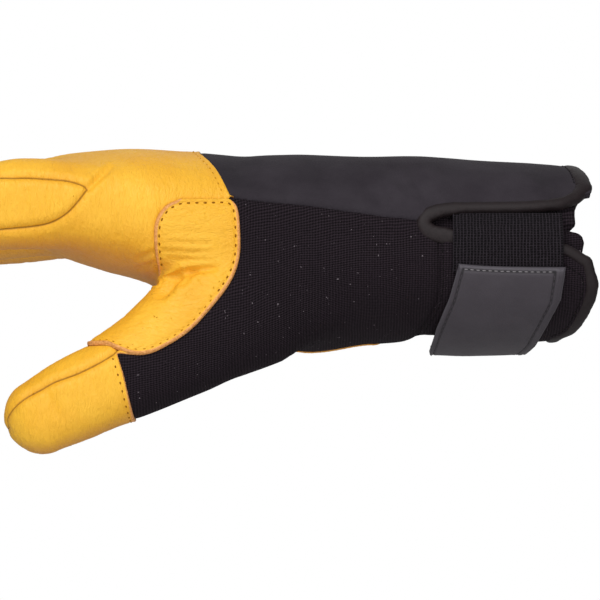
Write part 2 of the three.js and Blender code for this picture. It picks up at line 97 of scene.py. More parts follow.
THUMB = [
    (-58, -20, -8, 16.0, 19.0),
    (-80, -27, -14.2, 18.0, 21.6),
    (-95, -33.5, -20.4, 17.6, 21.2),
    (-106.5, -38.0, -28.0, 16.2, 18.9),
    (-117.6, -42.0, -35.0, 14.8, 16.2),
    (-129.8, -45.5, -41.4, 13.9, 14.6),
    (-141.5, -48.0, -47.0, 13.2, 14.2),
    (-152.3, -49.5, -52.6, 11.7, 12.6),
]
DIGIT_POWER = 2.3
ROOT_SHARE = 0.86  # a finger is this much slimmer where it starts inside the palm
GRID_STEP = 1.4
# How softly the hand's end, the fingers' sides, the finger roots and the thumb run together.
HAND_END_BLEND, SIDE_BLEND, FINGER_BLEND, THUMB_BLEND = 8, 1.5, 4.0, 5.0

# Seam outlines in the side view: x, z.
INDEX_PANEL = [
    (-136.9, 23), (-140, 18.6), (-144.5, 14), (-151.5, 10.7), (-166, 9), (-182, 7.4), (-198, 4.6),
    (-211, 3.2), (-217, 4.6), (-219.5, 8), (-217, 12.4), (-208, 17.2), (-195, 21.2), (-180, 24.6),
    (-166, 26.7), (-150, 26.2), (-142, 25.2), (-136.9, 23),
]
LEATHER_EDGE = [(-101, 60), (-101, 38), (-99.5, 34.6), (-97, 32.2), (-94.6, 29.4), (-92.2, 25), (-90, 20.4)]
BACK_SEAM = [(-78, 19), (-64.5, 17.7), (-52.3, 16), (-40, 14.3), (-33.5, 13.6), (-27.4, 12.6)]
CUFF_SEAM = [(-20.5, 5), (-20, -5), (-20.5, -13), (-22.2, -18.6), (-25.3, -24.6), (-27, -34)]
CAP_EDGE = [(-127, -31.4), (-125.3, -36.7), (-123.7, -42.3), (-122.3, -48.7), (-121.2, -54)]
THUMB_SEAM = [
    (-127.6, -31.6), (-132.4, -34.4), (-139.7, -38), (-147, -40.7), (-152.4, -43.7), (-157, -46.4),
    (-160.7, -49.7), (-163, -53.4), (-163.4, -57), (-175, -60),
]
PATCH_FRONT = [(-112.9, -9.6), (-113.9, -3.3), (-114.9, 4), (-114.6, 11.6), (-111.4, 17), (-106.4, 19.6)]
PATCH_BACK = [
    (-90.6, 19.6), (-87.6, 16.6), (-86.6, 9.3), (-86.8, 0), (-90, -8.7), (-98, -19), (-103.7, -24.7),
    (-110.3, -29), (-116, -31.6), (-121.6, -32), (-127, -30.2), (-131, -28.8), (-140, -29),
]
PATCH_OVER_THUMB = [(-148, -26), (-140, -18), (-126, -12.4), (-117, -10.3)]
KNIT_PALM_EDGE = [(-119, -38), (-106, -28), (-92, -12), (-80, 3), (-66, 10), (-40, 12), (-10, 12)]
LITTLE_BACK_EDGE = [(-101, 60), (-101, 30), (-98, 10), (-94, 3)]
LITTLE_SEAM = [(-92, 3), (-118, 10.4), (-144, 13.4), (-165, 10.9), (-182, 9.4), (-196, 6.4), (-207, 3.5)]
HEM = [
    (20, -45), (21.3, -28.4), (27, -24.2), (31.2, -15.8), (32.4, -9), (31, -3), (27, 4), (27.4, 14),
    (30.2, 19.5), (31.2, 24), (30.2, 29), (28.6, 32), (25, 45),
]

# The slit's two edges, from the open end to the point and back. The tapes run along them.
SLIT_TOP = [
    (26, 21.2), (20, 18.8), (8, 17.6), (-8, 17.3), (-15, 17), (-20.5, 16.1),
    (-24.2, 14.4), (-25.4, 12),
]
SLIT_LOW = [
    (-25.4, 12), (-24.6, 9.8), (-21.5, 8.2), (-16, 7.2), (-8, 6.4), (2, 5.6), (14, 4.6), (22, 2.6),
    (29, -1.6),
]

# Folds in the thumb side: start x and z, end x and z, depth, half width.
FOLDS = [
    (-136.6, 23, -130, 30, 1.2, 1.1),
    (-112.5, -12.5, -107, -7, 2.4, 1.7),
    (-107, -7, -103, -4.6, 2.0, 1.4),
    (-103, -4.6, -95, -3.7, 1.4, 1.3),
    (-105.5, -10, -101, -5, 1.2, 1.1),
    (-110, -7.5, -106, -4, 0.7, 0.9),
    (-110, 5.4, -97, 4.6, 0.4, 0.8),
    (-112, 2.6, -96, 1.8, 0.45, 0.8),
    (-110, 0.2, -95, -0.9, 0.5, 0.8),
    (-109, 8.8, -96, 8.2, 0.25, 0.8),
    (-120.5, -0.4, -115.5, 1.8, 0.7, 0.9),
    (-121, -3.2, -115.5, -1.8, 0.6, 0.9),
    (-88, 33, -80, 24, 1.0, 4.0),
    (-62, 31, -48, 26, 0.9, 5.0),
    (-44, 24, -36, 15, 0.7, 3.0),
    (-30, 31, -24, 20, 1.2, 2.6),
    (-36, 30, -30, 22, 0.6, 2.0),
    (14, 30, 22, 21, 0.6, 3.0),
    (-34, -4, -28, -20, 0.8, 3.0),
    (-76, 10, -50, 6, 0.5, 5.0),
    (-104, -28, -96, -34, 0.6, 3.0),
    (-168, 31, -160, 27, 0.5, 2.4),
    (-150, -44, -146, -52, 0.5, 2.0),
]

SEAM_DEPTH = 0.9
SEAM_WIDTH = 0.8
SHELL_THICK = 2.4
STITCH_PITCH = 2.8
STITCH_INSET = 1.7
FAR = 200


def smooth_rows(rows, per=8):
    """The rows of a table with more between them, on a smooth curve."""
    rows = np.array(rows, float)
    ends = np.vstack([2 * rows[0] - rows[1], rows, 2 * rows[-1] - rows[-2]])
    found = []
    for a, b, c, d in zip(ends, ends[1:], ends[2:], ends[3:]):
        for t in np.linspace(0, 1, per, endpoint=False):
            start = 2 * b + (c - a) * t + (2 * a - 5 * b + 4 * c - d) * t**2
            found.append(0.5 * (start + (3 * b - a - 3 * c + d) * t**3))
    found.append(rows[-1])
    return np.array(found)


def unit(vectors):
    return vectors / np.maximum(np.linalg.norm(vectors, axis=-1, keepdims=True), 1e-9)


def hump(value, middle, width):
    """A smooth hump of height 1 over a value."""
    return np.exp(-(((value - middle) / width) ** 2))


def walked(line):
    """Length along a line at each of its points."""
    return np.concatenate([[0], np.cumsum(np.linalg.norm(np.diff(line, axis=0), axis=1))])


def at_places(places, walk, table):
    """A table's rows at places along it."""
    return np.stack([np.interp(places, walk, column) for column in table.T], axis=1)


def running_mean(table, count):
    """Each column's mean over count rows, with its ends held."""
    padded = np.pad(table, ((count // 2, count // 2), (0, 0)), "edge")
    return np.stack([np.convolve(column, np.ones(count) / count, "valid") for column in padded.T], axis=1)


def smooth_min(a, b, reach):
    near = np.maximum(reach - np.abs(a - b), 0) / reach
    return np.minimum(a, b) - near * near * reach / 4


HAND_ROWS = smooth_rows(HAND)[::-1]


def hand_size(x):
    """Middle y and z, half width, half height and power of the hand's section at x."""
    top, palm, thumb, little, power = (np.interp(x, HAND_ROWS[:, 0], HAND_ROWS[:, k]) for k in range(1, 6))
    return (thumb + little) / 2, (top + palm) / 2, (little - thumb) / 2, (top - palm) / 2, power


CORE = 0.05


def scaled_distance(gauge, away, deepest):
    """Distance to a shape, from a point's gauge, 1 on its skin, and its way to the middle."""
    return np.where(gauge > CORE, away - away / np.maximum(gauge, CORE), deepest)


def hand_field(p):
    """Distance outside the hand's skin, negative inside."""
    y, z, wide, high, power = hand_size(p[:, 0])
    dy = p[:, 1] - y
    dz = p[:, 2] - z
    gauge = ((np.abs(dy) / wide) ** power + (np.abs(dz) / high) ** power) ** (1 / power)
    side = scaled_distance(gauge, np.hypot(dy, dz), -30)
    end = HAND_ROWS[0, 0] - p[:, 0]
    return -smooth_min(-side, -end, HAND_END_BLEND)


class Digit:
    """A finger or thumb as a field around its centre line."""

    def __init__(self, table):
        rows = smooth_rows(table)
        self.line = rows[:, :3]
        self.along = unit(np.gradient(self.line, axis=0))
        self.across = unit(np.array([0, 1, 0]) - self.along * self.along[:, 1:2])
        self.up = np.cross(self.along, self.across)
        self.size = rows[:, 3:5].copy()
        taper = np.interp(np.arange(len(rows)), [0, 8], [ROOT_SHARE, 1])
        self.size *= taper[:, None]
        margin = self.size.max() + 10
        self.low = self.line.min(axis=0) - margin
        self.high = self.line.max(axis=0) + margin

    def field(self, p):
        value = np.full(len(p), 50.0)
        near = np.all((p > self.low) & (p < self.high), axis=1)
        value[near] = self.near_field(p[near])
        return value

    def near_field(self, p):
        best = np.zeros(len(p), int)
        least = np.full(len(p), 1e9)
        for i, point in enumerate(self.line):
            away = np.sum((p - point) ** 2, axis=1)
            closer = away < least
            best[closer] = i
            least[closer] = away[closer]
        last = len(self.line) - 1
        step = np.linalg.norm(np.diff(self.line, axis=0), axis=1).mean()
        share = np.sum((p - self.line[best]) * self.along[best], axis=1) / step
        at = np.clip(best + np.clip(share, -1, 1), 0, last)
        low = np.minimum(at.astype(int), last - 1)
        part = (at - low)[:, None]
        mix = lambda rows: rows[low] * (1 - part) + rows[low + 1] * part
        local = p - mix(self.line)
        size = mix(self.size)
        a = np.sum(local * mix(self.along), axis=1)
        u = np.sum(local * mix(self.across), axis=1)
        v = np.sum(local * mix(self.up), axis=1)
        round_part = (np.abs(u) / size[:, 0]) ** DIGIT_POWER + (np.abs(v) / size[:, 1]) ** DIGIT_POWER
        gauge = np.sqrt(round_part ** (2 / DIGIT_POWER) + (a / size[:, 0]) ** 2)
        return scaled_distance(gauge, np.sqrt(a * a + u * u + v * v), -10)


FINGERS = [Digit(table) for table in (INDEX, MIDDLE, RING, LITTLE)]
THUMB_DIGIT = Digit(THUMB)


def glove_field(p):
    """Distance outside the whole glove's skin."""
    fingers = FINGERS[0].field(p)
    for finger in FINGERS[1:]:
        fingers = smooth_min(fingers, finger.field(p), SIDE_BLEND)
    body = smooth_min(hand_field(p), fingers, FINGER_BLEND)
    return smooth_min(body, THUMB_DIGIT.field(p), THUMB_BLEND)


def outward(field, p, step=0.4):
    """Unit vectors out of a field's surfaces, and its values."""
    value = field(p)
    slopes = [field(p + step * axis) - value for axis in np.eye(3)]
    return unit(np.stack(slopes, axis=1)), value


def surface_nets(values, origin, step):
    """Vertices and quads of the surface where a grid of values crosses nothing."""
    inside = values < 0
    corners = np.array([(i, j, k) for i in (0, 1) for j in (0, 1) for k in (0, 1)])
    shape = np.array(values.shape) - 1
    count = sum(
        inside[i : i + shape[0], j : j + shape[1], k : k + shape[2]].astype(int) for i, j, k in corners
    )
    active = (count > 0) & (count < 8)
    cells = np.argwhere(active)
    ids = np.full(tuple(shape), -1)
    ids[active] = np.arange(len(cells))
    total = np.zeros((len(cells), 3))
    crossings = np.zeros(len(cells))
    for a in corners:
        for b in corners:
            if (b - a).sum() != 1 or (b - a).min() < 0:
                continue
            va = values[tuple((cells + a).T)]
            vb = values[tuple((cells + b).T)]
            crossed = (va < 0) != (vb < 0)
            share = va[crossed] / (va[crossed] - vb[crossed])
            total[crossed] += a + share[:, None] * (b - a)
            crossings[crossed] += 1
    points = (cells + total / crossings[:, None]) * step + origin
    quads = []
    for axis in range(3):
        e, f, g = np.roll(np.eye(3, dtype=int), -axis, axis=0)
        here = inside[: values.shape[0] - e[0], : values.shape[1] - e[1], : values.shape[2] - e[2]]
        there = inside[e[0] :, e[1] :, e[2] :]
        edges = np.argwhere(here != there)
        fits = np.all((edges - f - g >= 0) & (edges < shape), axis=1)
        edges = edges[fits]
        ring = np.stack([ids[tuple((edges - o).T)] for o in (0 * e, f, f + g, g)], axis=1)
        flip = ~here[tuple(edges.T)]
        ring[flip] = ring[flip][:, ::-1]
        quads.append(ring)
    quads = np.vstack(quads)
    return points, quads[(quads >= 0).all(axis=1)]


def polygon_value(a, b, outline):
    """Distance to an outline in a plane, positive inside it."""
    least = np.full(len(a), 1e9)
    inside = np.zeros(len(a), bool)
    points = np.array(outline, float)
    for (x0, y0), (x1, y1) in zip(points, np.roll(points, -1, axis=0)):
        dx, dy = x1 - x0, y1 - y0
        length = dx * dx + dy * dy
        if length < 1e-9:
            continue
        t = np.clip(((a - x0) * dx + (b - y0) * dy) / length, 0, 1)
        least = np.minimum(least, np.hypot(a - x0 - t * dx, b - y0 - t * dy))
        if y0 != y1:
            passes = ((b >= y0) != (b >= y1)) & (a < x0 + (b - y0) * dx / dy)
            inside ^= passes
    return np.where(inside, least, -least)


def curved(points, per=6):
    return [tuple(row) for row in smooth_rows(points, per)]


def side_value(p, outline, low_y=-FAR, high_y=FAR):
    flat = polygon_value(p[:, 0], p[:, 2], outline)
    return np.minimum(flat, np.minimum(p[:, 1] - low_y, high_y - p[:, 1]))


def side_panel(table):
    """A finger's side panel in the side view, from its root to its tip."""
    rows = smooth_rows(table, 12)
    rows = rows[12:]
    share = np.linspace(0, 1, len(rows))
    half = 0.56 * rows[:, 4] * np.sqrt(np.minimum(1, 0.04 + share * 3)) * np.sqrt(1.02 - share**6)
    upper = list(zip(rows[:, 0], rows[:, 2] + half))
    lower = list(zip(rows[:, 0], rows[:, 2] - half))
    return upper + lower[::-1]


def between_value(p, first, second):
    a_y, b_y = first[2][1], second[2][1]
    middle = (a_y + b_y) / 2
    return np.maximum(
        side_value(p, side_panel(first), a_y, middle + 0.5),
        side_value(p, side_panel(second), middle - 0.5, b_y),
    )


def outside_value(p):
    """Past the hem or inside the slit: what isn't there."""
    hem = side_value(p, curved(HEM) + [(300, 60), (300, -100)])
    slit = side_value(p, curved(SLIT_TOP) + curved(SLIT_LOW) + [(40, -3), (40, 24)], -FAR, 0)
    return np.maximum(hem, slit)


def patch_value(p):
    return side_value(p, curved(PATCH_FRONT) + curved(PATCH_BACK) + PATCH_OVER_THUMB, -FAR, -27)


def cap_value(p):
    outline = curved(CAP_EDGE) + [(-119, -75), (-175, -75), (-175, -26), (-148, -26)]
    return side_value(p, outline + curved(PATCH_BACK[-4:][::-1]), -FAR, 0)


def thumb_front_value(p):
    return side_value(p, curved(THUMB_SEAM) + [(-175, -20), (-120, -20)], -FAR, 0)


def softshell_value(p):
    outline = [(60, 60)] + curved(LEATHER_EDGE) + curved(BACK_SEAM) + [(-24, 10), (60, 10)]
    thumb_side = side_value(p, outline, -FAR, 0.5)
    little_side = side_value(p, [(60, 60)] + curved(LITTLE_BACK_EDGE) + [(60, 3)], -0.5, FAR)
    return np.maximum(thumb_side, little_side)


def knit_value(p):
    outline = [(-119, -75), (-124, -40), (-127, -31), (-112, -20), (-100, 18), (-91, 18), (-90, 20.4)]
    side = side_value(p, outline + curved(BACK_SEAM) + curved(CUFF_SEAM) + [(-27, -75)], -FAR, 0)
    above = polygon_value(p[:, 0], p[:, 1], curved(KNIT_PALM_EDGE) + [(-10, -100), (-160, -100), (-160, -60)])
    return np.minimum(side, above)


def cuff_palm_value(p):
    far_part = side_value(p, [(-38, -60), (-38, 3), (60, 3), (60, -60)], -14.5, FAR)
    near_part = side_value(p, curved(CUFF_SEAM) + [(60, -60), (60, 12), (-24, 12)], -FAR, -13.5)
    return np.maximum(far_part, near_part)


# The order in which the pieces are cut from the skin. The first is thrown away.
CUTS = [
    ("outside", outside_value),
    ("thumb_patch", patch_value),
    ("thumb_cap", cap_value),
    ("index_side_panel", lambda p: side_value(p, curved(INDEX_PANEL), -FAR, -38.8)),
    ("fourchette_index_middle", lambda p: between_value(p, INDEX, MIDDLE)),
    ("fourchette_middle_ring", lambda p: between_value(p, MIDDLE, RING)),
    ("fourchette_ring_little", lambda p: between_value(p, RING, LITTLE)),
    ("softshell_back", softshell_value),
    ("knit_panel", knit_value),
    ("cuff_palm_panel", cuff_palm_value),
]
REST = "leather_trank"


def triangle_edges(faces):
    """The edges of all triangles, three rows for each."""
    return faces[:, [0, 1, 1, 2, 2, 0]].reshape(-1, 2)


def edge_codes(edges, size):
    """A whole number for each edge, the same whichever way it runs."""
    ends = np.sort(edges, axis=1)
    return ends[:, 0] * size + ends[:, 1]


def shared_edges(faces):
    """The rows of the triangles' edges in pairs that lie on each other."""
    codes = edge_codes(triangle_edges(faces), faces.max() + 1)
    order = np.argsort(codes, kind="stable")
    same = np.flatnonzero(codes[order][1:] == codes[order][:-1])
    return order[same], order[same + 1]


def open_edges(faces):
    """The edges used by one face only, in the face's direction."""
    edges = triangle_edges(faces)
    _, first, count = np.unique(edge_codes(edges, faces.max() + 1), return_index=True, return_counts=True)
    return edges[first[count == 1]]


# The parts of a triangle with 0 to 3 cut edges. Its corners are 0, 1 and 2, its cuts 3, 4 and 5.
TRIANGLE_PARTS = [
    [(0, 1, 2)],
    [(0, 3, 2), (3, 1, 2)],
    [(4, 2, 5), (0, 1, 4), (0, 4, 5)],
    [(0, 3, 5), (1, 4, 3), (2, 5, 4), (3, 4, 5)],
]


def cut_faces(faces, middle):
    """The parts of the faces, and each part's old face. In middle are the cuts' points, or -1 for none."""
    count = (middle >= 0).sum(axis=1)
    found, source = [], []
    for cuts, parts in enumerate(TRIANGLE_PARTS):
        rows = np.flatnonzero(count == cuts)
        starts = middle[rows] < 0 if cuts == 2 else middle[rows] >= 0
        turned = (np.argmax(starts, axis=1)[:, None] + np.arange(3)) % 3
        spots = np.hstack([np.take_along_axis(table[rows], turned, axis=1) for table in (faces, middle)])
        found += [spots[:, part] for part in parts]
        source += [rows] * len(parts)
    return np.vstack(found), np.concatenate(source)


def split(points, faces, labels, values, which):
    """Cuts the faces picked by which along the line where values cross nothing. Neighbours follow."""
    edges = triangle_edges(faces)
    crossed = (values[edges[:, 0]] > 0) != (values[edges[:, 1]] > 0)
    crossed &= np.repeat(which, 3)
    codes = edge_codes(edges, len(points))
    cut_codes = np.unique(codes[crossed])
    if not len(cut_codes):
        return points, faces, labels, values
    a, b = np.divmod(cut_codes, len(points))
    share = np.clip(values[a] / (values[a] - values[b]), 0.02, 0.98)[:, None]
    fresh = points[a] * (1 - share) + points[b] * share
    spot = np.minimum(np.searchsorted(cut_codes, codes), len(cut_codes) - 1)
    middle = np.where(cut_codes[spot] == codes, spot + len(points), -1).reshape(-1, 3)
    faces, source = cut_faces(faces, middle)
    values = np.concatenate([values, np.zeros(len(fresh))])
    return np.vstack([points, fresh]), faces, labels[source], values


def refine(points, faces, labels, which):
    """Cuts each edge for which which(its two ends) is true at its middle, and the faces with it."""
    size = len(points)
    codes, spot = np.unique(edge_codes(triangle_edges(faces), size), return_inverse=True)
    a, b = np.divmod(codes, size)
    chosen = which(points[a], points[b])
    number = np.where(chosen, np.cumsum(chosen) - 1 + size, -1)
    fresh = (points[a[chosen]] + points[b[chosen]]) / 2
    faces, source = cut_faces(faces, number[spot].reshape(-1, 3))
    order = np.argsort(source, kind="stable")
    return np.vstack([points, fresh]), faces[order], labels[source[order]]


def drop_slivers(faces, labels, least=120):
    """Patches of a label with few faces take the label of a neighbour."""
    pairs = np.stack(shared_edges(faces), axis=1) // 3
    alike = pairs[labels[pairs[:, 0]] == labels[pairs[:, 1]]]
    group = np.arange(len(faces))
    while True:
        low = np.minimum(group[alike[:, 0]], group[alike[:, 1]])
        fresh = group.copy()
        np.minimum.at(fresh, alike[:, 0], low)
        np.minimum.at(fresh, alike[:, 1], low)
        fresh = fresh[fresh]
        if np.array_equal(fresh, group):
            break
        group = fresh
    small = np.bincount(group, minlength=len(faces))[group] < least
    labels = labels.copy()
    while np.any(small):
        flags = small[pairs]
        from_first = pairs[flags[:, 0] & ~flags[:, 1]]
        from_second = pairs[flags[:, 1] & ~flags[:, 0]][:, ::-1]
        found = np.vstack([from_first, from_second])
        if not len(found):
            break
        labels[found[:, 0]] = labels[found[:, 1]]
        small[found[:, 0]] = False
    return labels


def sign_of_faces(faces, values):
    return values[faces].sum(axis=1) > 0


def contour(points, faces, values, level=0.0):
    """Ordered lines of points where values reach a level on the faces."""
    above = values > level
    edges = triangle_edges(faces).reshape(-1, 3, 2)
    crossed = above[edges[:, :, 0]] != above[edges[:, :, 1]]
    rows = np.flatnonzero(crossed.sum(axis=1) == 2)
    links = {}
    spots = {}
    for row in rows:
        ends = []
        for i, j in edges[row][crossed[row]]:
            key = (min(i, j), max(i, j))
            if key not in spots:
                a, b = key
                share = (level - values[a]) / (values[b] - values[a])
                spots[key] = points[a] * (1 - share) + points[b] * share
            ends.append(key)
        links.setdefault(ends[0], []).append(ends[1])
        links.setdefault(ends[1], []).append(ends[0])
    lines = []
    left = set(links)
    while left:
        start = next((key for key in left if len(links[key]) == 1), None) or next(iter(left))
        line = [start]
        left.discard(start)
        while True:
            onward = [key for key in links[line[-1]] if key in left]
            if not onward:
                break
            line.append(onward[0])
            left.discard(onward[0])
        if len(line) > 3 and line[0] in links[line[-1]]:
            line.append(line[0])
        lines.append(np.array([spots[key] for key in line]))
    return sorted(lines, key=len, reverse=True)


def nearest(points, targets):
    """Distance from each point to the nearest target."""
    if not len(targets):
        return np.full(len(points), 99.0)
    tree = KDTree(len(targets))
    for i, target in enumerate(targets):
        tree.insert(target, i)
    tree.balance()
    return np.array([tree.find(point)[2] for point in points])


def fold_height(p):
    """How far the folds move the skin out. Beside each groove the cloth rises a little."""
    height = np.zeros(len(p))
    side = np.clip(-p[:, 1] / 12, 0, 1)
    for x0, z0, x1, z1, deep, wide in FOLDS:
        dx, dz = x1 - x0, z1 - z0
        t = ((p[:, 0] - x0) * dx + (p[:, 2] - z0) * dz) / (dx * dx + dz * dz)
        held = np.clip(t, 0, 1)
        away = np.hypot(p[:, 0] - x0 - held * dx, p[:, 2] - z0 - held * dz)
        taper = np.clip(1.3 - np.abs(t - 0.5), 0, 1) ** 2
        height -= deep * side * taper * hump(away, 0, wide)
        height += 0.35 * deep * side * taper * hump(away, 2.1 * wide, 1.2 * wide)
    soft = np.sin(p[:, 0] * 0.11 + 1.3 * np.sin(p[:, 2] * 0.07))
    soft = soft * np.sin(p[:, 2] * 0.13 + p[:, 1] * 0.09 + 0.5)
    return height + 0.25 * soft


def creases(p, stretch, reach):
    """Thin wavy grooves, from 0 to 1, drawn out the way that stretch is small."""
    found = np.array([noise.noise(spot) for spot in (p * stretch).tolist()])
    return np.clip(1 - np.abs(found) / reach, 0, 1) ** 2


# For each piece: how the broad and the fine creases are stretched, and their depths.
HAND_CREASES = ((0.19, 0.07, 0.05), 0.2, (0.46, 0.2, 0.12), 0.1)
CREASES = {
    "leather_trank": HAND_CREASES,
    "index_side_panel": HAND_CREASES,
    "thumb_patch": ((0.06, 0.1, 0.22), 0.2, (0.13, 0.3, 0.5), 0.12),
    "thumb_cap_front": ((0.05, 0.1, 0.1), 0.15, (0.2, 0.2, 0.3), 0.08),
    "thumb_cap_back": ((0.1, 0.1, 0.1), 0.15, (0.3, 0.2, 0.2), 0.08),
    "softshell_back": ((0.05, 0.04, 0.03), 0.0, (0.2, 0.2, 0.2), 0.05),
}


def crease_height(name, p):
    if name not in CREASES:
        return np.zeros(len(p))
    broad, deep, fine, shallow = CREASES[name]
    calm = 1 - 0.6 * np.clip((p[:, 2] - 22) / 12, 0, 1)
    return -calm * (deep * creases(p, broad, 0.16) + shallow * creases(p + 40, fine, 0.25))


def cloth_place(p):
    """Lengths along the cloth, in millimetres: along the hand and down its side."""
    return np.stack([p[:, 0], p[:, 2] - 0.7 * p[:, 1], np.zeros(len(p))], axis=1)


def make_object(name, points, faces, materials, material_of=None, attributes=(), sharp=None, node=None):
    """A smooth mesh object in metres that rides on the only body."""
    mesh = bpy.data.meshes.new(name)
    mesh.from_pydata((np.asarray(points) * MM).tolist(), [], [tuple(map(int, f)) for f in faces])
    for title, values in attributes:
        kind, key = ("FLOAT", "value") if values.ndim == 1 else ("FLOAT_VECTOR", "vector")
        mesh.attributes.new(title, kind, "POINT").data.foreach_set(key, values.ravel())
    for material in materials:
        mesh.materials.append(material)
    if material_of is not None:
        mesh.polygons.foreach_set("material_index", material_of)
    mesh.polygons.foreach_set("use_smooth", [True] * len(mesh.polygons))
    if sharp is not None:
        ends = np.zeros(len(mesh.edges) * 2, int)
        mesh.edges.foreach_get("vertices", ends)
        size = len(mesh.vertices)
        is_sharp = np.isin(edge_codes(ends.reshape(-1, 2), size), edge_codes(sharp, size))
        mesh.edges.foreach_set("use_edge_sharp", is_sharp)
    mesh.update()
    piece = bpy.data.objects.new(name, mesh)
    bpy.context.scene.collection.objects.link(piece)
    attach(piece, "root")
    if node:
        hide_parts(node)


class Shade:
    """A material's node tree, built node by node."""

    def __init__(self, name):
        self.material = bpy.data.materials.new(name)
        self.material.use_nodes = True
        self.tree = self.material.node_tree
        self.shader = self.tree.nodes["Principled BSDF"]

    def add(self, kind, inputs=(), out=0, **settings):
        node = self.tree.nodes.new(kind)
        for key, value in settings.items():
            setattr(node, key, value)
        for key, value in dict(inputs).items():
            self.plug(node.inputs[key], value)
        return node.outputs[out]

    def plug(self, socket, value):
        if isinstance(value, bpy.types.NodeSocket):
            self.tree.links.new(value, socket)
        else:
            socket.default_value = value

    def place(self, stretch=(1, 1, 1)):
        spot = self.add("ShaderNodeTexCoord", out="Object")
        return self.add("ShaderNodeMapping", {"Vector": spot, "Scale": stretch})

    def attribute(self, name, out="Fac"):
        return self.add("ShaderNodeAttribute", out=out, attribute_name=name)

    def noise(self, scale, detail, rough, at=None, distortion=0.0):
        inputs = {"Scale": scale, "Detail": detail, "Roughness": rough, "Distortion": distortion}
        inputs["Vector"] = at or self.place()
        return self.add("ShaderNodeTexNoise", inputs)

    def cells(self, scale, high):
        """Small raised cells with grooves between them, for the grain of leather."""
        inputs = {"Vector": self.place(), "Scale": scale}
        return self.ramp(self.add("ShaderNodeTexVoronoi", inputs, feature="DISTANCE_TO_EDGE"), 0.0, high)

    def math(self, operation, a, b=0.0, c=0.0):
        return self.add("ShaderNodeMath", {0: a, 1: b, 2: c}, operation=operation)

    def plus(self, first, second, share=1.0):
        """The first value and a share of the second."""
        return self.math("MULTIPLY_ADD", second, share, first)

    def wave(self, length, pitch):
        return self.math("SINE", self.math("MULTIPLY", length, 2 * math.pi / pitch))

    def ramp(self, value, low, high, to_low=0.0, to_high=1.0):
        inputs = {0: value, 1: low, 2: high, 3: to_low, 4: to_high}
        return self.add("ShaderNodeMapRange", inputs)

    def mix(self, share, first, second):
        """A mix of two colours. Each is a socket or a display colour."""
        node = self.tree.nodes.new("ShaderNodeMix")
        node.data_type = "RGBA"
        self.plug(node.inputs[0], share)
        for place, value in ((6, first), (7, second)):
            self.plug(node.inputs[place], colour(*value) if isinstance(value, tuple) else value)
        return node.outputs[2]

    def bump(self, height, distance, strength, under=None):
        inputs = {"Height": height, "Distance": distance, "Strength": strength}
        if under:
            inputs["Normal"] = under
        return self.add("ShaderNodeBump", inputs)

    def done(self, base, roughness, normal=None, specular=0.5, sheen=0.0):
        """The material, with its shader's inputs set."""
        inputs = {"Base Color": base, "Roughness": roughness, "Specular IOR Level": specular}
        inputs["Sheen Weight"] = sheen
        if normal:
            inputs["Normal"] = normal
        for key, value in inputs.items():
            self.plug(self.shader.inputs[key], value)
        return self.material


def colour(*display):
    """A shader colour from the display's 0 to 255 values."""
    linear = [(v / 255 / 12.92) if v <= 10 else ((v / 255 + 0.055) / 1.055) ** 2.4 for v in display]
    return (*linear, 1.0)


def leather(name, stretch):
    """Yellow goatskin whose fine wrinkles are drawn out the way that stretch is small."""
    shade = Shade(name)
    patches = shade.noise(38, 4, 0.6)
    base = shade.mix(shade.ramp(patches, 0.35, 0.65), (234, 170, 40), (243, 185, 52))
    lines = shade.noise(1050, 2, 0.5, shade.place(stretch), 1.2)
    # Darker along the fine wrinkles: painted shade in the creases.
    base = shade.mix(shade.ramp(lines, 0.52, 0.64, 0, 0.1), base, (206, 138, 24))
    # Browner where the skin faces down (the under attribute): painted shade of the underside.
    base = shade.mix(shade.ramp(shade.attribute("under"), 0.55, 1.0, 0, 0.6), base, (188, 120, 62))
    seam = shade.attribute("seam")
    # Beside a sunken seam the leather is a little darker: painted shade. The thin dark line at the seam
    # itself is its joint, with painted shade of the groove.
    base = shade.mix(shade.ramp(seam, 0.5, 2.2, 0.25, 0.0), base, (214, 146, 26))
    base = shade.mix(shade.ramp(seam, 0.1, 0.5, 0.75, 0.0), base, (142, 92, 24))
    fibres = shade.ramp(shade.noise(1500, 3, 0.7), 0.3, 0.7)
    raw = shade.mix(fibres, (198, 126, 58), (238, 174, 104))
    base = shade.mix(shade.ramp(shade.attribute("edge"), 1.0, 1.25, 1.0, 0.0), base, raw)
    grain = shade.bump(shade.cells(1300, 0.35), 0.00004, 0.4)
    wrinkles = shade.bump(lines, 0.0006, 0.6, grain)
    broad = shade.noise(300, 3, 0.5, shade.place(stretch), 0.8)
    normal = shade.bump(broad, 0.001, 0.3, wrinkles)
    return shade.done(base, shade.ramp(lines, 0.35, 0.65, 0.45, 0.6), normal, 0.3)


def softshell():
    """Matt stretch cloth with a fine fuzz."""
    shade = Shade("softshell")
    tone = shade.ramp(shade.noise(60, 4, 0.6), 0.3, 0.7)
    height = shade.plus(shade.noise(1400, 2, 0.5), shade.noise(3000, 2, 0.6), 0.6)
    return shade.done(shade.mix(tone, (38, 33, 39), (50, 45, 51)), 0.8, shade.bump(height, 0.00025, 0.5), 0.2)


def cloth_axes(shade):
    """Lengths along and across the cloth."""
    parts = shade.tree.nodes.new("ShaderNodeSeparateXYZ")
    shade.plug(parts.inputs[0], shade.attribute("cloth", "Vector"))
    return parts.outputs[0], parts.outputs[1]


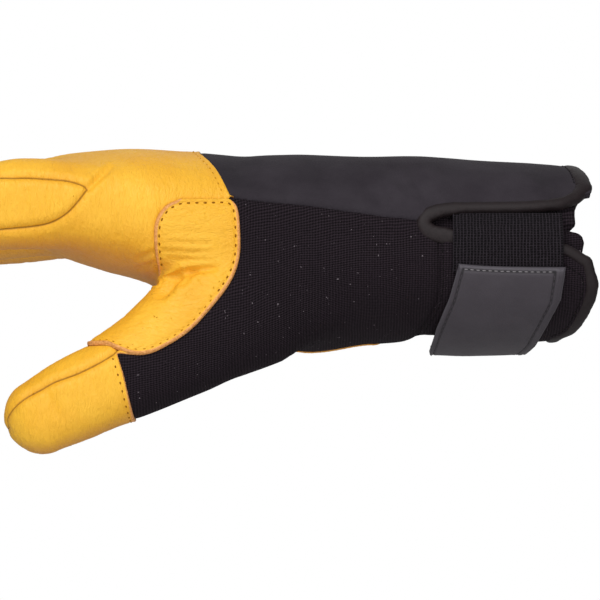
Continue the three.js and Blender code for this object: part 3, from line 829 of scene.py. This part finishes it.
def knit():
    """Fine jersey: rows of loops along the hand, with ribs across them and a little lint."""
    shade = Shade("knit")
    along, around = cloth_axes(shade)
    drift = shade.noise(70, 2, 0.5)
    rows = shade.wave(shade.plus(shade.plus(around, drift, 2.5), along, -0.06), 0.8)
    ribs = shade.wave(shade.plus(along, drift), 0.95)
    loops = shade.plus(shade.math("MULTIPLY", rows, 0.8), ribs, 0.6)
    height = shade.plus(loops, shade.noise(1700, 3, 0.7), 2.2)
    # Dark where the loops sink and paler where they rise: painted shade and painted highlight by the loops'
    # height.
    base = shade.mix(shade.ramp(height, 0.0, 2.4), (12, 8, 11), (45, 37, 43))
    lint = shade.ramp(shade.noise(1100, 1, 0.5), 0.76, 0.8, 0, 0.7)
    return shade.done(shade.mix(lint, base, (140, 130, 136)), 0.95, shade.bump(height, 0.00014, 0.6), 0.1)


def webbing():
    """Woven elastic: fine ribs both ways, with painted light and shade by the threads' height: dark in the
    hollows, pale where the threads stand up.
    """
    shade = Shade("webbing")
    drift = shade.noise(220, 2, 0.5)
    axes = zip(cloth_axes(shade), WEB)
    first, second = (shade.wave(shade.plus(axis, drift, 0.7), pitch) for axis, pitch in axes)
    ribs = shade.math("MAXIMUM", first, shade.math("MULTIPLY", second, 0.8))
    height = shade.plus(ribs, shade.noise(1300, 3, 0.7), 1.2)
    # Painted shade in the hollows, painted highlight on the raised threads.
    base = shade.mix(shade.ramp(height, 0.85, 1.9), (6, 4, 6), (50, 44, 50))
    return shade.done(base, 0.9, shade.bump(height, 0.00025, 0.6), 0.15)


def tab_skin():
    """Matt leatherette, paler towards its edge, with painted shade in its stitched groove."""
    shade = Shade("tab_skin")
    base = shade.mix(shade.noise(90, 4, 0.6), (50, 45, 51), (66, 61, 67))
    # Paler towards the edges, most of all along the top.
    base = shade.mix(shade.ramp(shade.attribute("edge"), 0.2, 0.9, 0.45, 0.0), base, (92, 88, 94))
    # Near black along the stitched groove: painted shade.
    base = shade.mix(shade.ramp(shade.attribute("seam"), 0.15, 0.6, 0.8, 0.0), base, (16, 14, 17))
    return shade.done(base, 0.55, shade.bump(shade.cells(1500, 0.3), 0.00005, 0.5), 0.3)


def fibrous(name, grain, dark, light, roughness, bump, specular=0.5, sheen=0.0, contrast=(0, 1)):
    """A material of two tones mixed by its grain: scale, detail, roughness. The grain is its bump too."""
    shade = Shade(name)
    tone = shade.noise(*grain)
    base = shade.mix(shade.ramp(tone, *contrast), dark, light)
    return shade.done(base, roughness, shade.bump(tone, *bump), specular, sheen)


def thread(name, dark, light):
    return fibrous(name, (2500, 2, 0.5), dark, light, 0.8, (0.0001, 0.5), 0.1)


WEB = (1.1, 0.85)  # the elastic's ribs along it and across it are this far apart
# Wrinkles run up and down on the hand, and along the patch.
LEATHER = leather("leather", (1.0, 0.5, 0.36))
PATCH_LEATHER = leather("patch_leather", (0.38, 0.6, 1.0))
SOFTSHELL = softshell()
KNIT = knit()
BINDING = fibrous("binding", (900, 3, 0.6), (20, 13, 15), (36, 27, 29), 0.6, (0.00015, 0.5), 0.25)
WEBBING = webbing()
TAB_SKIN = tab_skin()
LINING = fibrous("lining", (900, 4, 0.7), (34, 30, 34), (70, 64, 68), 0.95, (0.0005, 0.7), sheen=0.2)
RAW_TONES = ((150, 90, 34), (206, 140, 70))
CUT_EDGE = fibrous("cut_edge", (1500, 3, 0.7), *RAW_TONES, 0.85, (0.0002, 0.6), contrast=(0.3, 0.7))
BROWN_THREAD = thread("brown_thread", (118, 70, 4), (160, 104, 16))
TAN_THREAD = thread("tan_thread", (168, 108, 12), (204, 142, 30))
BLACK_THREAD = thread("black_thread", (6, 5, 6), (24, 20, 22))
GREY_THREAD = thread("grey_thread", (50, 46, 50), (84, 78, 84))
PALE_THREAD = thread("pale_thread", (96, 92, 96), (150, 146, 148))

# Which piece is sewn on top of which. All other neighbours meet in a sunken seam.
ON_TOP = [
    ("thumb_patch", "leather_trank"), ("thumb_patch", "knit_panel"), ("thumb_patch", "thumb_cap_back"),
    ("thumb_patch", "thumb_cap_front"), ("thumb_patch", "softshell_back"), ("thumb_cap_back", "knit_panel"),
    ("thumb_cap_front", "knit_panel"), ("leather_trank", "softshell_back"), ("leather_trank", "knit_panel"),
]


def little_seam_value(p):
    """Height over the seam along the little finger's side."""
    xs, zs = zip(*LITTLE_SEAM[::-1])
    return p[:, 2] - np.interp(p[:, 0], xs, zs)


def little_seam_area(p):
    return (p[:, 1] > 38.2) & (p[:, 0] > -207) & (p[:, 0] < -92) & (np.abs(little_seam_value(p)) < 3)


def tip_seam(table, low_y, high_y):
    """The seam over a fingertip: height over it, and where it runs."""
    before, last = table[-2], table[-1]
    slope = (last[2] - before[2]) / (last[0] - before[0])

    def value(p):
        return p[:, 2] - last[2] - slope * (p[:, 0] - last[0])

    def area(p):
        return (p[:, 0] < last[0] + 1) & (p[:, 1] > low_y) & (p[:, 1] < high_y) & (np.abs(value(p)) < 3)

    return value, area


# Seams inside the trank, which join its back and its palm.
TRANK_SEAMS = [
    (little_seam_value, little_seam_area),
    tip_seam(INDEX, -FAR, -25.8),
    tip_seam(MIDDLE, -25.8, 0.15),
    tip_seam(RING, 0.15, 25.7),
    tip_seam(LITTLE, 25.7, FAR),
]
LONGEST_NEAR = 1.0
NEAR_SIDE = -16
SEEN_FROM = -172
# Distances from a seam at which the faces are cut too, so that the seam can sink there.
SEAM_LEVELS = (-2.2, -0.9, -0.35, 0.35, 0.9, 1.7, 2.6)
FINGER_SEAM_LEVELS = (-0.9, 0.9)
TRANK_SEAM_LEVELS = (-0.9, -0.35, 0.001, 0.35, 0.9)
SEAM_REACH = 4.5
GRID_LOW = np.array([-250.0, -68.0, -72.0])
GRID_HIGH = np.array([40.0, 58.0, 44.0])
CUFF_PALM_X = -38.2
NAMES = [name for name, _ in CUTS] + [REST, "thumb_cap_front"]
CAP_LABEL = NAMES.index("thumb_cap")
CUFF_LABEL = NAMES.index("cuff_palm_panel")
NAMES[CAP_LABEL] = "thumb_cap_back"


def is_long(a, b):
    """Edges to cut again on the thumb side, as far as the photo shows it."""
    long = np.linalg.norm(a - b, axis=1) > LONGEST_NEAR
    middle = (a + b) / 2
    return long & (middle[:, 1] < NEAR_SIDE) & (middle[:, 0] > SEEN_FROM)


def build_skin():
    """The whole glove's skin as triangles with a label each, cut along every seam."""
    counts = np.ceil((GRID_HIGH - GRID_LOW) / GRID_STEP).astype(int)
    axes = [start + GRID_STEP * np.arange(count) for start, count in zip(GRID_LOW, counts)]
    grid = np.stack(np.meshgrid(*axes, indexing="ij"), axis=-1).reshape(-1, 3)
    points, quads = surface_nets(glove_field(grid).reshape(counts), GRID_LOW, GRID_STEP)
    for _ in range(2):
        normals, value = outward(glove_field, points)
        points = points - normals * value[:, None]
    first, second = (np.linalg.norm(points[quads[:, k]] - points[quads[:, k + 2]], axis=1) for k in (0, 1))
    short, long = quads[first < second], quads[first >= second]
    faces = np.vstack([short[:, [0, 1, 2]], short[:, [0, 2, 3]], long[:, [0, 1, 3]], long[:, [1, 2, 3]]])
    rest = len(CUTS)
    labels = np.full(len(faces), rest)
    for number, (name, value_of) in enumerate(CUTS):
        values = value_of(points)
        points, faces, labels, values = split(points, faces, labels, values, labels == rest)
        labels[(labels == rest) & sign_of_faces(faces, values)] = number
        if name == "outside":
            faces = faces[labels != 0]
            labels = labels[labels != 0]
            continue
        for level in FINGER_SEAM_LEVELS if name.startswith("fourchette") else SEAM_LEVELS:
            values = value_of(points)
            near = np.abs(values[faces]).max(axis=1) < SEAM_REACH
            points, faces, labels, _ = split(points, faces, labels, values - level, near)
    values = thumb_front_value(points)
    points, faces, labels, values = split(points, faces, labels, values, labels == CAP_LABEL)
    labels[(labels == CAP_LABEL) & sign_of_faces(faces, values)] = rest + 1
    labels[(labels == rest) & (points[faces][:, :, 0].min(axis=1) > CUFF_PALM_X)] = CUFF_LABEL
    for seam_value, area in TRANK_SEAMS:
        for level in TRANK_SEAM_LEVELS:
            near = area(points[faces].mean(axis=1)) & (labels == rest)
            points, faces, labels, _ = split(points, faces, labels, seam_value(points) - level, near)
    points, faces, labels = refine(points, faces, labels, is_long)
    labels = drop_slivers(faces, labels)
    used, renumbered = np.unique(faces, return_inverse=True)
    return points[used], renumbered.reshape(-1, 3), labels


def seams_of(faces, labels):
    """The edges where pieces meet: a piece, the other or -1 at a hem, and the edge's two points."""
    edges = triangle_edges(faces)
    owner = np.repeat(labels, 3)
    a, b = shared_edges(faces)
    alone = np.ones(len(edges), bool)
    alone[a] = False
    alone[b] = False
    meets = owner[a] != owner[b]
    a, b = a[meets], b[meets]
    hem = np.full(alone.sum(), -1)
    columns = [(owner[a], owner[b], edges[a]), (owner[b], owner[a], edges[a])]
    columns.append((owner[alone], hem, edges[alone]))
    return np.vstack([np.column_stack(column) for column in columns])


points, faces, labels = build_skin()
normals, value = outward(glove_field, points)
points = points - normals * value[:, None]
height = fold_height(points)
seams = seams_of(faces, labels)

LOOKS = {
    "thumb_patch": PATCH_LEATHER,
    "softshell_back": SOFTSHELL,
    "knit_panel": KNIT,
    "cuff_palm_panel": KNIT,
}


def border_points(number, others):
    """Points along a piece's border with the pieces in others."""
    rows = seams[(seams[:, 0] == number) & np.isin(seams[:, 1], others)]
    a, b = points[rows[:, 2]], points[rows[:, 3]]
    return np.vstack([a, b, (a + b) / 2])


def tube_faces(rings, sides):
    """Faces of a closed tube of rings of points."""
    faces = []
    for start in range(0, (rings - 1) * sides, sides):
        for i in range(sides):
            j = (i + 1) % sides
            faces.append((start + i, start + j, start + sides + j, start + sides + i))
    return faces + [tuple(range(sides - 1, -1, -1)), tuple(range((rings - 1) * sides, rings * sides))]


# The rings of a stitch: place along it and share of its thickness.
STITCH_RINGS = ((-0.5, 0.35), (-0.32, 0.9), (0, 1.0), (0.32, 0.9), (0.5, 0.35))
STITCH_SIDES = 6


def bar(centre, along, out, length, thick):
    """Points of a small bar whose rounded ends sink in, for a stitch."""
    across = np.cross(along, out)
    rings = []
    for place, size in STITCH_RINGS:
        sink = -0.35 * thick * (2 * place) ** 2
        middle = centre + along * place * length + out * sink
        for turn in np.linspace(0, 2 * math.pi, STITCH_SIDES, endpoint=False):
            rings.append(middle + (across * math.cos(turn) + out * math.sin(turn)) * size * thick / 2)
    return rings


def stitches(name, lines, material, pitch, length, thick, lift=0.1):
    """Stitches at even steps along lines of points with normals."""
    all_points, all_faces = [], []
    sides = tube_faces(len(STITCH_RINGS), STITCH_SIDES)
    for line in lines:
        if len(line) < 4:
            continue
        line = running_mean(line, 5)
        walk = walked(line[:, :3])
        places = np.arange(pitch / 2, walk[-1] - pitch / 3, pitch)
        ahead, behind = (at_places(places + step, walk, line[:, :3]) for step in (0.5, -0.5))
        for spot, along in zip(at_places(places, walk, line), unit(ahead - behind)):
            out = spot[3:] / np.linalg.norm(spot[3:])
            all_faces += [tuple(i + len(all_points) for i in face) for face in sides]
            all_points += bar(spot[:3] + out * lift, along, out, length, thick)
    if all_points:
        make_object(name, all_points, all_faces, [material])


def kept_runs(lines, keep):
    """The stretches of lines where keep is true."""
    runs = []
    for line in lines:
        cuts = np.flatnonzero(np.diff(keep(line).astype(int))) + 1
        runs += [run for run in np.split(line, cuts) if len(run) > 8 and keep(run)[0]]
    return runs


def inner_seam_distance(p):
    """Distance to the seams inside the trank."""
    found = np.full(len(p), 99.0)
    for seam_value, area in TRANK_SEAMS:
        here = area(p)
        found[here] = np.minimum(found[here], np.abs(seam_value(p[here])))
    return found


def band_hidden(p):
    """Where the raw edge of the patch doesn't show: along its top, and over the thumb."""
    top = np.clip(1 - np.abs(p[:, 0] + 98) / 9, 0, 1) * 3 * (p[:, 2] > 14)
    crotch = np.clip((-5 - p[:, 2]) / 3, 0, 1) * (p[:, 0] < -108) * (p[:, 2] > -26)
    return 2 * np.clip(top, 0, 1) + 9 * crotch


# How high the lapped edge of a piece stands. Others stand LOW_LIFT high.
LIFTS = {"thumb_patch": 1.0, "thumb_cap_back": 0.7, "thumb_cap_front": 0.7}
LOW_LIFT = 0.5
# The leather swells a little beside a sunken seam: height, distance from the seam, and width.
SWELL, SWELL_PLACE, SWELL_WIDTH = 0.22, 2.8, 1.6
THUMB_TIP_X = (-164, -154)


def sewn_height(name, p, h, to_level, to_over, to_under):
    """How far a piece's skin stands out: folds and creases, sunken seams and lapped edges."""
    h = h + crease_height(name, p) * np.clip(np.minimum(to_level, to_over) / 2, 0, 1)
    depth = SEAM_DEPTH
    if name.startswith("thumb_cap"):
        depth = SEAM_DEPTH * np.interp(p[:, 0], THUMB_TIP_X, [0.3, 1])
    h = h - depth * np.exp(-to_level / SEAM_WIDTH) + SWELL * hump(to_level, SWELL_PLACE, SWELL_WIDTH)
    h = h - 0.35 * np.exp(-to_under / 0.8)
    lift = LIFTS.get(name, LOW_LIFT)
    spread = 1.0 if name == "thumb_patch" else np.clip(1 - to_over / 9, 0, 1) ** 2
    rise = np.clip(to_over / 0.5, 0, 1) ** 0.6
    return h + lift * spread * rise - 0.3 * lift * hump(to_over, STITCH_INSET, 0.5)


def seen_on_patch(q):
    return (q[:, 2] > -4) | ((q[:, 0] > -109) & (q[:, 2] > -12))


def faint_on_patch(q):
    return ((q[:, 2] <= -12) & (q[:, 0] > -109)) | (q[:, 2] <= -26)


# The stitched rows: piece, name, border that the row follows, distance from it, where it shows,
# fewest points of a line, thread, pitch, length, thickness and lift.
SEWING = [
    ("thumb_patch", "stitches", "over", STITCH_INSET, seen_on_patch, 60,
     BROWN_THREAD, STITCH_PITCH, 1.2, 0.6, 0.1),
    ("thumb_patch", "low_stitches", "over", STITCH_INSET, faint_on_patch, 60,
     TAN_THREAD, STITCH_PITCH, 1.1, 0.5, 0),
    ("thumb_cap_back", "stitches", "over", STITCH_INSET, None, 0,
     BROWN_THREAD, STITCH_PITCH, 0.9, 0.5, 0.1),
    (REST, "stitches", "shell", 2.3, lambda q: (q[:, 2] > 21) | (q[:, 1] > 0), 0,
     TAN_THREAD, STITCH_PITCH, 1.1, 0.45, 0),
    ("softshell_back", "hem_stitches", "hem", 5.5, lambda q: (q[:, 0] > 20) & (q[:, 2] > 25), 0,
     BLACK_THREAD, 2, 1.8, 0.5, 0),
    ("cuff_palm_panel", "hem_stitches", "hem", 4.6, lambda q: (q[:, 0] > 18) & (q[:, 2] < 1), 0,
     BLACK_THREAD, 2, 1.8, 0.5, 0),
    ("cuff_palm_panel", "stitches", "level", 1.2, None, 0,
     BLACK_THREAD, 2, 1.8, 0.4, 0),
]


def make_panel(number, name):
    """One sewn piece: its skin with seams and folds, its lining, the rim between them and its stitches."""
    used, local = np.unique(faces[labels == number], return_inverse=True)
    local = local.reshape(-1, 3)
    p, n = points[used], normals[used]
    others = set(seams[seams[:, 0] == number][:, 1]) - {-1}
    over = [o for o in others if (name, NAMES[o]) in ON_TOP]
    under = [o for o in others if (NAMES[o], name) in ON_TOP]
    level = [o for o in others if o not in over and o not in under]
    borders = {"level": level, "over": over, "under": under, "hem": [-1]}
    if name == REST:
        borders["shell"] = [NAMES.index("softshell_back")]
    to = {border: nearest(p, border_points(number, meets)) for border, meets in borders.items()}
    if name == REST:
        to["level"] = np.minimum(to["level"], inner_seam_distance(p))
    outer = p + n * sewn_height(name, p, height[used], to["level"], to["over"], to["under"])[:, None]
    rim = open_edges(local)
    walls = np.stack([rim[:, 0] + len(p), rim[:, 1] + len(p), rim[:, 1], rim[:, 0]], axis=1)
    outside_look = LOOKS.get(name, LEATHER)
    rim_look = CUT_EDGE if outside_look in (LEATHER, PATCH_LEATHER) else outside_look
    edge = np.full(len(p), 9.0)
    if name == "thumb_patch":
        edge = to["over"] + band_hidden(p)
    elif name == "thumb_cap_back":
        edge = to["over"] + np.interp(p[:, 2], [-54, -36], [0.1, 0.9])
    # The under attribute is how far the skin faces down; the leather paints its underside shade from it.
    attributes = [("seam", to["level"]), ("edge", edge), ("under", -n[:, 2]), ("cloth", cloth_place(p))]
    make_object(
        name + "_skin",
        np.vstack([outer, p - n * SHELL_THICK]),
        [*local, *(local[:, ::-1] + len(p)), *walls],
        [outside_look, LINING, rim_look],
        np.repeat([0, 1, 2], [len(local), len(local), len(walls)]),
        [(title, np.concatenate([values, values])) for title, values in attributes],
        sharp=rim,
        node=name,
    )
    sheet = np.hstack([outer, n])
    for piece, title, border, inset, where, fewest, *look in SEWING:
        if piece == name:
            lines = [line for line in contour(sheet, local, to[border], inset) if len(line) > fewest]
            stitches(f"{name}_{title}", kept_runs(lines, where) if where else lines, *look)


for number, name in enumerate(NAMES):
    if np.any(labels == number):
        make_panel(number, name)


def cuff_normals(p):
    """Outward unit normals of the hand's own field."""
    return outward(hand_field, p, 0.3)[0]


def thumb_side_points(x, z):
    """Points of the cuff's skin on the thumb side."""
    y, middle, wide, high, power = hand_size(x)
    across = np.clip(np.abs(z - middle) / high, 0, 1)
    return np.stack([x, y - wide * (1 - across**power) ** (1 / power), z], axis=-1)


def cuff_point(x, turn):
    """Points of the cuff's skin at turns round it, from the little finger's side over the back."""
    y, z, wide, high, power = hand_size(x)
    c, s = np.cos(turn), np.sin(turn)
    side = np.sign(c) * np.abs(c) ** (2 / power)
    rise = np.sign(s) * np.abs(s) ** (2 / power)
    return np.stack([x, y + wide * side, z + high * rise], axis=-1)


def grid_squares(shape):
    """The squares between the points of a grid."""
    index = np.arange(shape[0] * shape[1]).reshape(shape)
    return np.stack([index[:-1, :-1], index[1:, :-1], index[1:, 1:], index[:-1, 1:]], axis=-1).reshape(-1, 4)


def slab(name, skin, low, high, shape, material, node, attributes):
    """A closed sheet from one height to another over a grid of the cuff's points. Gives its outer face."""
    out = cuff_normals(skin)
    outer = skin + out * high[:, None]
    inner = skin + out * low[:, None]
    index = np.arange(len(skin)).reshape(shape)
    top = grid_squares(shape)
    ring = np.concatenate([index[0, :-1], index[:-1, -1], index[-1, :0:-1], index[:0:-1, 0]])
    onward = np.roll(ring, -1)
    walls = np.stack([ring, onward, onward + len(skin), ring + len(skin)], axis=1)
    faces = np.vstack([top, top[:, ::-1] + len(skin), walls])
    first = outer[top[0]]
    facing = np.cross(first[1] - first[0], first[2] - first[0]) @ (outer[0] - inner[0])
    if facing < 0:
        faces = faces[:, ::-1]
    doubled = [(title, np.concatenate([values, values])) for title, values in attributes]
    make_object(name, np.vstack([outer, inner]), faces, [material], None, doubled, node=node)
    return np.hstack([outer, out])


ELASTIC_X = (-15.7, 20.8)
ELASTIC_Z = (15.6, -4.2)
ELASTIC_THICK = 1.3


def make_elastic():
    """The woven elastic: out from under the upper tape, over the slit and the lower tape, to the tab."""
    grid_x, grid_z = np.meshgrid(np.linspace(*ELASTIC_X, 148), np.linspace(*ELASTIC_Z, 80))
    x, z = grid_x.ravel(), grid_z.ravel()
    lift = np.interp(-z, [-15.6, -13.5, -9, -7.5, 4.2], [-1.0, -0.2, 1.5, 2.0, 2.1])
    lift += 0.25 * np.sin(x * 0.35 + 0.6) * np.interp(z, [-4, 4, 14], [0, 1, 0])
    middle, half = np.mean(ELASTIC_X), np.ptp(ELASTIC_X) / 2
    lift += 0.3 * hump(np.abs(x - middle), half - 0.35, 0.35)
    lift += 0.08 * np.sin(x * 2 * math.pi / WEB[0]) + 0.05 * np.sin(z * 2 * math.pi / WEB[1])
    cloth = [("cloth", np.stack([x, z, 0 * x], axis=1))]
    skin = thumb_side_points(x, z)
    low = lift - ELASTIC_THICK
    slab("strap_elastic_cloth", skin, low, lift, grid_x.shape, WEBBING, "strap_elastic", cloth)


# The tab's edges and the gusset's open edge: x, z.
TAB_LEFT = [(-13.7, -2.8), (-16.6, -14), (-21, -25), (-23, -30)]
TAB_RIGHT = [(21.6, -2.8), (20.3, -13), (13.3, -26.3), (9, -31)]
GUSSET_EDGE = [
    (26, 21), (25.6, 16.5), (25.7, 13), (23.6, 10.9), (26.4, 9.8),
    (27.8, 8), (28.4, 5.5), (27.8, 2), (26, -6),
]
TAB_TOP_Z = -2.4
TAB_END_Y = 16
TAB_THICK = 1.7
TAB_STITCHES_TOP_Z = -4.8
# How far the tab's stitches lie from its left, right, top and far edges.
TAB_INSETS = (1.8, 3.4, 1.3, 1.8)


def x_at_height(z, edge):
    """The x of an edge, given from the top down, at heights z."""
    return np.interp(-z, [-row[1] for row in edge], [row[0] for row in edge])


def make_tab():
    """The stitched tab: from the elastic round under the wrist."""
    shape = rows, cols = 110, 74
    fine = np.linspace(math.pi, 2 * math.pi, 600)
    section = cuff_point(np.zeros(len(fine)), fine)
    walk = walked(section)
    begin = walk[np.argmax(section[:, 2] < TAB_TOP_Z)]
    end = walk[np.argmax((section[:, 1] > TAB_END_Y) & (section[:, 2] < 0))]
    turns = np.interp(np.linspace(begin, end, rows), walk, fine)
    at_rows = cuff_point(np.zeros(rows), turns)
    left, right = (x_at_height(at_rows[:, 2], edge)[:, None] for edge in (TAB_LEFT, TAB_RIGHT))
    left = left + 0.037 * np.clip(at_rows[:, 1:2] + 25, 0, 41)
    share = np.linspace(0, 1, cols)[None, :]
    x = left * (1 - share) + right * share
    down = np.repeat(np.linspace(0, end - begin, rows)[:, None], cols, axis=1)
    sides = (x - left, right - x, down, end - begin - down)
    to_edge = np.min(sides, axis=0)
    to_row = np.min([side - inset for side, inset in zip(sides, TAB_INSETS)], axis=0)
    base = np.interp(down, [0, 2, 8, 20, 34, 60], [2.4, 2.4, 1.9, 2.0, 2.4, 2.6])
    base = base + 3.0 * (1 - share) ** 1.5 * np.interp(down, [14, 44, 70], [0, 1, 1])
    top = base + TAB_THICK * np.clip(to_edge / 0.8, 0, 1) ** 0.5 - 0.55 * hump(to_row, 0, 0.4)
    top -= 0.25 * hump(right - x, 1.3, 0.35) + 0.25 * np.clip(to_row / 1.2, 0, 1)
    top += 0.4 * hump(down, 0, 1.2)
    top += 0.15 * np.sin(x * 0.2 + down * 0.12)
    looks = [("edge", np.minimum(to_edge, 0.3 * down).ravel()), ("seam", np.abs(to_row).ravel())]
    skin = cuff_point(x.ravel(), np.repeat(turns, cols))
    sheet = slab("strap_tab_skin", skin, base.ravel(), top.ravel(), shape, TAB_SKIN, "strap_tab", looks)
    squares = grid_squares(shape)
    lines = contour(sheet, np.vstack([squares[:, [0, 1, 2]], squares[:, [0, 2, 3]]]), to_row.ravel())
    upper = kept_runs(lines, lambda q: q[:, 2] > TAB_STITCHES_TOP_Z)
    lower = kept_runs(lines, lambda q: q[:, 2] <= TAB_STITCHES_TOP_Z)
    stitches("strap_tab_top_stitches", upper, PALE_THREAD, 2.0, 1.3, 0.4)
    stitches("strap_tab_stitches", lower, GREY_THREAD, 2.4, 1.7, 0.35)


GUSSET_Z = (20.5, -4.5)
GUSSET_LEFT = -29
GUSSET_CREASE_Z = 10.9
GUSSET_THICK = 1.1


def make_gusset():
    """The thin cloth behind the slit, folded in two at the open end."""
    shape = rows, cols = 60, 90
    heights = np.linspace(*GUSSET_Z, rows)
    right = x_at_height(heights, GUSSET_EDGE)[:, None]
    share = np.linspace(0, 1, cols)[None, :]
    x = (GUSSET_LEFT * (1 - share) + right * share).ravel()
    z = np.repeat(heights, cols)
    crease = hump(z, GUSSET_CREASE_Z, 1.6)
    near_end = np.clip((x - 8) / 14, 0, 1)
    from_end = np.clip((np.repeat(right, cols) - x) / 2.5, 0, 1)
    depth = 3.9 + 1.6 * crease * near_end - 0.8 * near_end + 0.9 * (1 - from_end**0.5)
    skin = thumb_side_points(x, z)
    cloth = [("cloth", cloth_place(skin))]
    slab("cuff_gusset_cloth", skin, -depth - GUSSET_THICK, -depth, shape, KNIT, "cuff_gusset", cloth)


TAPE_SIDES = 20
TAPE_POWER = 0.75


def sweep(name, path, across, out, half_wide, half_thick, material, node):
    """A folded tape along a path."""
    walk = walked(path)
    turn = np.linspace(0, 2 * math.pi, TAPE_SIDES, endpoint=False)
    c, s = (np.sign(wave) * np.abs(wave) ** TAPE_POWER for wave in (np.cos(turn), np.sin(turn)))
    ripple = 1 + 0.03 * np.sin(walk * 0.9) + 0.02 * np.sin(walk * 2.3 + 1)
    wide = (half_wide * ripple)[:, None, None]
    sideways = across[:, None] * c[None, :, None] * wide
    rings = path[:, None] + sideways + out[:, None] * s[None, :, None] * half_thick
    ring = np.stack([np.arange(TAPE_SIDES), (np.arange(TAPE_SIDES) + 1) % TAPE_SIDES], axis=1)
    ends = np.vstack([ring, ring + (len(path) - 1) * TAPE_SIDES])
    tube = tube_faces(len(path), TAPE_SIDES)
    make_object(name, rings.reshape(-1, 3), tube, [material], sharp=ends, node=node)


def even(path, step=0.6):
    """The same path with points at even steps."""
    walk = walked(path)
    return at_places(np.linspace(0, walk[-1], int(walk[-1] / step)), walk, path)


BACK_HEM_INSET = 2.3
PALM_HEM_INSET = 1.6
WALL_MIDDLE = 1.2
TAPE_HALF_THICK = 2.0
# Half the tape's width: along the back hem, the slit, its point, and the palm hem.
BACK_HEM_HALF, SLIT_HALF, POINT_HALF, PALM_HEM_HALF = 3.0, 1.9, 2.8, 2.3
# Turns round the cuff where the tapes end on the little finger's side, and where the slit begins and ends.
TAPE_END_TURN, SLIT_TOP_TURN, SLIT_LOW_TURN = 0.015, 2.3, 3.5


def hem_points(from_turn, to_turn, inset):
    """Points round the open end. The hem's x follows its height."""
    turn = np.linspace(from_turn, to_turn, 60)
    rough = cuff_point(np.full(len(turn), 26.0), turn)
    line = smooth_rows(HEM, 12)
    line = line[np.argsort(line[:, 1])]
    return cuff_point(np.interp(rough[:, 2], line[:, 1], line[:, 0]) - inset, turn)


def slit_points(table):
    line = smooth_rows(table)
    return thumb_side_points(line[:, 0], line[:, 1])


def make_bindings():
    """The tape: along the back hem, down the slit to its point, back along it, and along the palm hem."""
    parts = [
        (hem_points(TAPE_END_TURN, SLIT_TOP_TURN, BACK_HEM_INSET), BACK_HEM_HALF),
        (slit_points(SLIT_TOP), SLIT_HALF),
        (slit_points(SLIT_LOW), SLIT_HALF),
        (hem_points(SLIT_LOW_TURN, 2 * math.pi - TAPE_END_TURN, PALM_HEM_INSET), PALM_HEM_HALF),
    ]
    rows = np.vstack([np.hstack([line, np.full((len(line), 1), half)]) for line, half in parts])
    path = even(smooth_rows(even(rows, 1.6), 5))
    wide = running_mean(path[:, 3:], 9)[:, 0]
    path = path[:, :3]
    near_point = np.clip(1.3 - np.hypot(path[:, 0] + 21, path[:, 2] - 9) / 10, 0, 1)
    wide = wide + (POINT_HALF - SLIT_HALF) * near_point * (np.abs(path[:, 1]) > 20)
    path = path - cuff_normals(path) * WALL_MIDDLE
    along = unit(np.gradient(path, axis=0))
    across = unit(np.cross(cuff_normals(path), along))
    out = np.cross(along, across)
    apex = int(np.argmin(path[:, 0]))
    for name, part in (("cuff_binding_back", slice(0, apex + 1)), ("cuff_binding_palm", slice(apex, None))):
        sweep(name + "_tape", path[part], across[part], out[part], wide[part], TAPE_HALF_THICK, BINDING, name)


make_elastic()
make_tab()
make_gusset()
make_bindings()

# In metres: the camera looks from the thumb side, at the middle of the photographed part.
CAMERA_DISTANCE = 1.2
VIEW_WIDTH = 0.2
NEAR_SIDE_Y = -0.04
PHOTO_MIDDLE_X, PHOTO_MIDDLE_Z = -0.0667, -0.014
SENSOR = 36


def add_object(name, data, place=(0, 0, 0), turn=(0, 0, 0)):
    thing = bpy.data.objects.new(name, data)
    thing.location = place
    thing.rotation_euler = turn
    bpy.context.scene.collection.objects.link(thing)
    return thing


def make_camera():
    data = bpy.data.cameras.new("camera")
    data.sensor_width = SENSOR
    data.lens = SENSOR * CAMERA_DISTANCE / VIEW_WIDTH
    place = (PHOTO_MIDDLE_X, NEAR_SIDE_Y - CAMERA_DISTANCE, PHOTO_MIDDLE_Z)
    bpy.context.scene.camera = add_object("camera", data, place, (math.pi / 2, 0, 0))


MIDDLE_OF_GLOVE = (-0.08, 0, -0.01)
# Soft lights that face the glove: name, place, size and power.
LIGHTS = [
    ("key", (-0.3, -0.85, 0.8), 0.7, 10.2),
    ("front", (0.2, -1.3, 0.1), 0.8, 3.6),
    ("low", (-0.15, -0.9, -0.42), 0.8, 2.2),
    ("rim", (0.1, 0.8, 0.6), 0.8, 1.2),
]


def make_lights():
    for name, place, size, power in LIGHTS:
        data = bpy.data.lights.new(name, "AREA")
        data.size = size
        data.energy = power
        facing = (Vector(MIDDLE_OF_GLOVE) - Vector(place)).to_track_quat("-Z", "Y").to_euler()
        add_object(name, data, place, facing)


FLOOR_Z = -0.5
FLOOR_HALF = 2.5


def make_floor():
    """A plain pale floor."""
    mesh = bpy.data.meshes.new("floor")
    corners = [(x * FLOOR_HALF, y * FLOOR_HALF, FLOOR_Z) for x, y in ((-1, -1), (1, -1), (1, 1), (-1, 1))]
    mesh.from_pydata(corners, [], [(0, 1, 2, 3)])
    mesh.materials.append(Shade("floor").done((0.8, 0.8, 0.8, 1), 0.9))
    add_object("floor", mesh)


def make_world():
    """White to look at, and a soft dim light on the glove."""
    world = bpy.data.worlds.new("studio")
    world.use_nodes = True
    tree = world.node_tree
    background = tree.nodes["Background"]
    background.inputs["Color"].default_value = (1, 1, 1, 1)
    seen = tree.nodes.new("ShaderNodeLightPath")
    strength = tree.nodes.new("ShaderNodeMapRange")
    strength.inputs["To Min"].default_value = 0.28
    strength.inputs["To Max"].default_value = 1.0
    tree.links.new(seen.outputs["Is Camera Ray"], strength.inputs["Value"])
    tree.links.new(strength.outputs[0], background.inputs["Strength"])
    bpy.context.scene.world = world


make_camera()
make_lights()
make_floor()
make_world()
bpy.context.scene.view_settings.view_transform = "Standard"
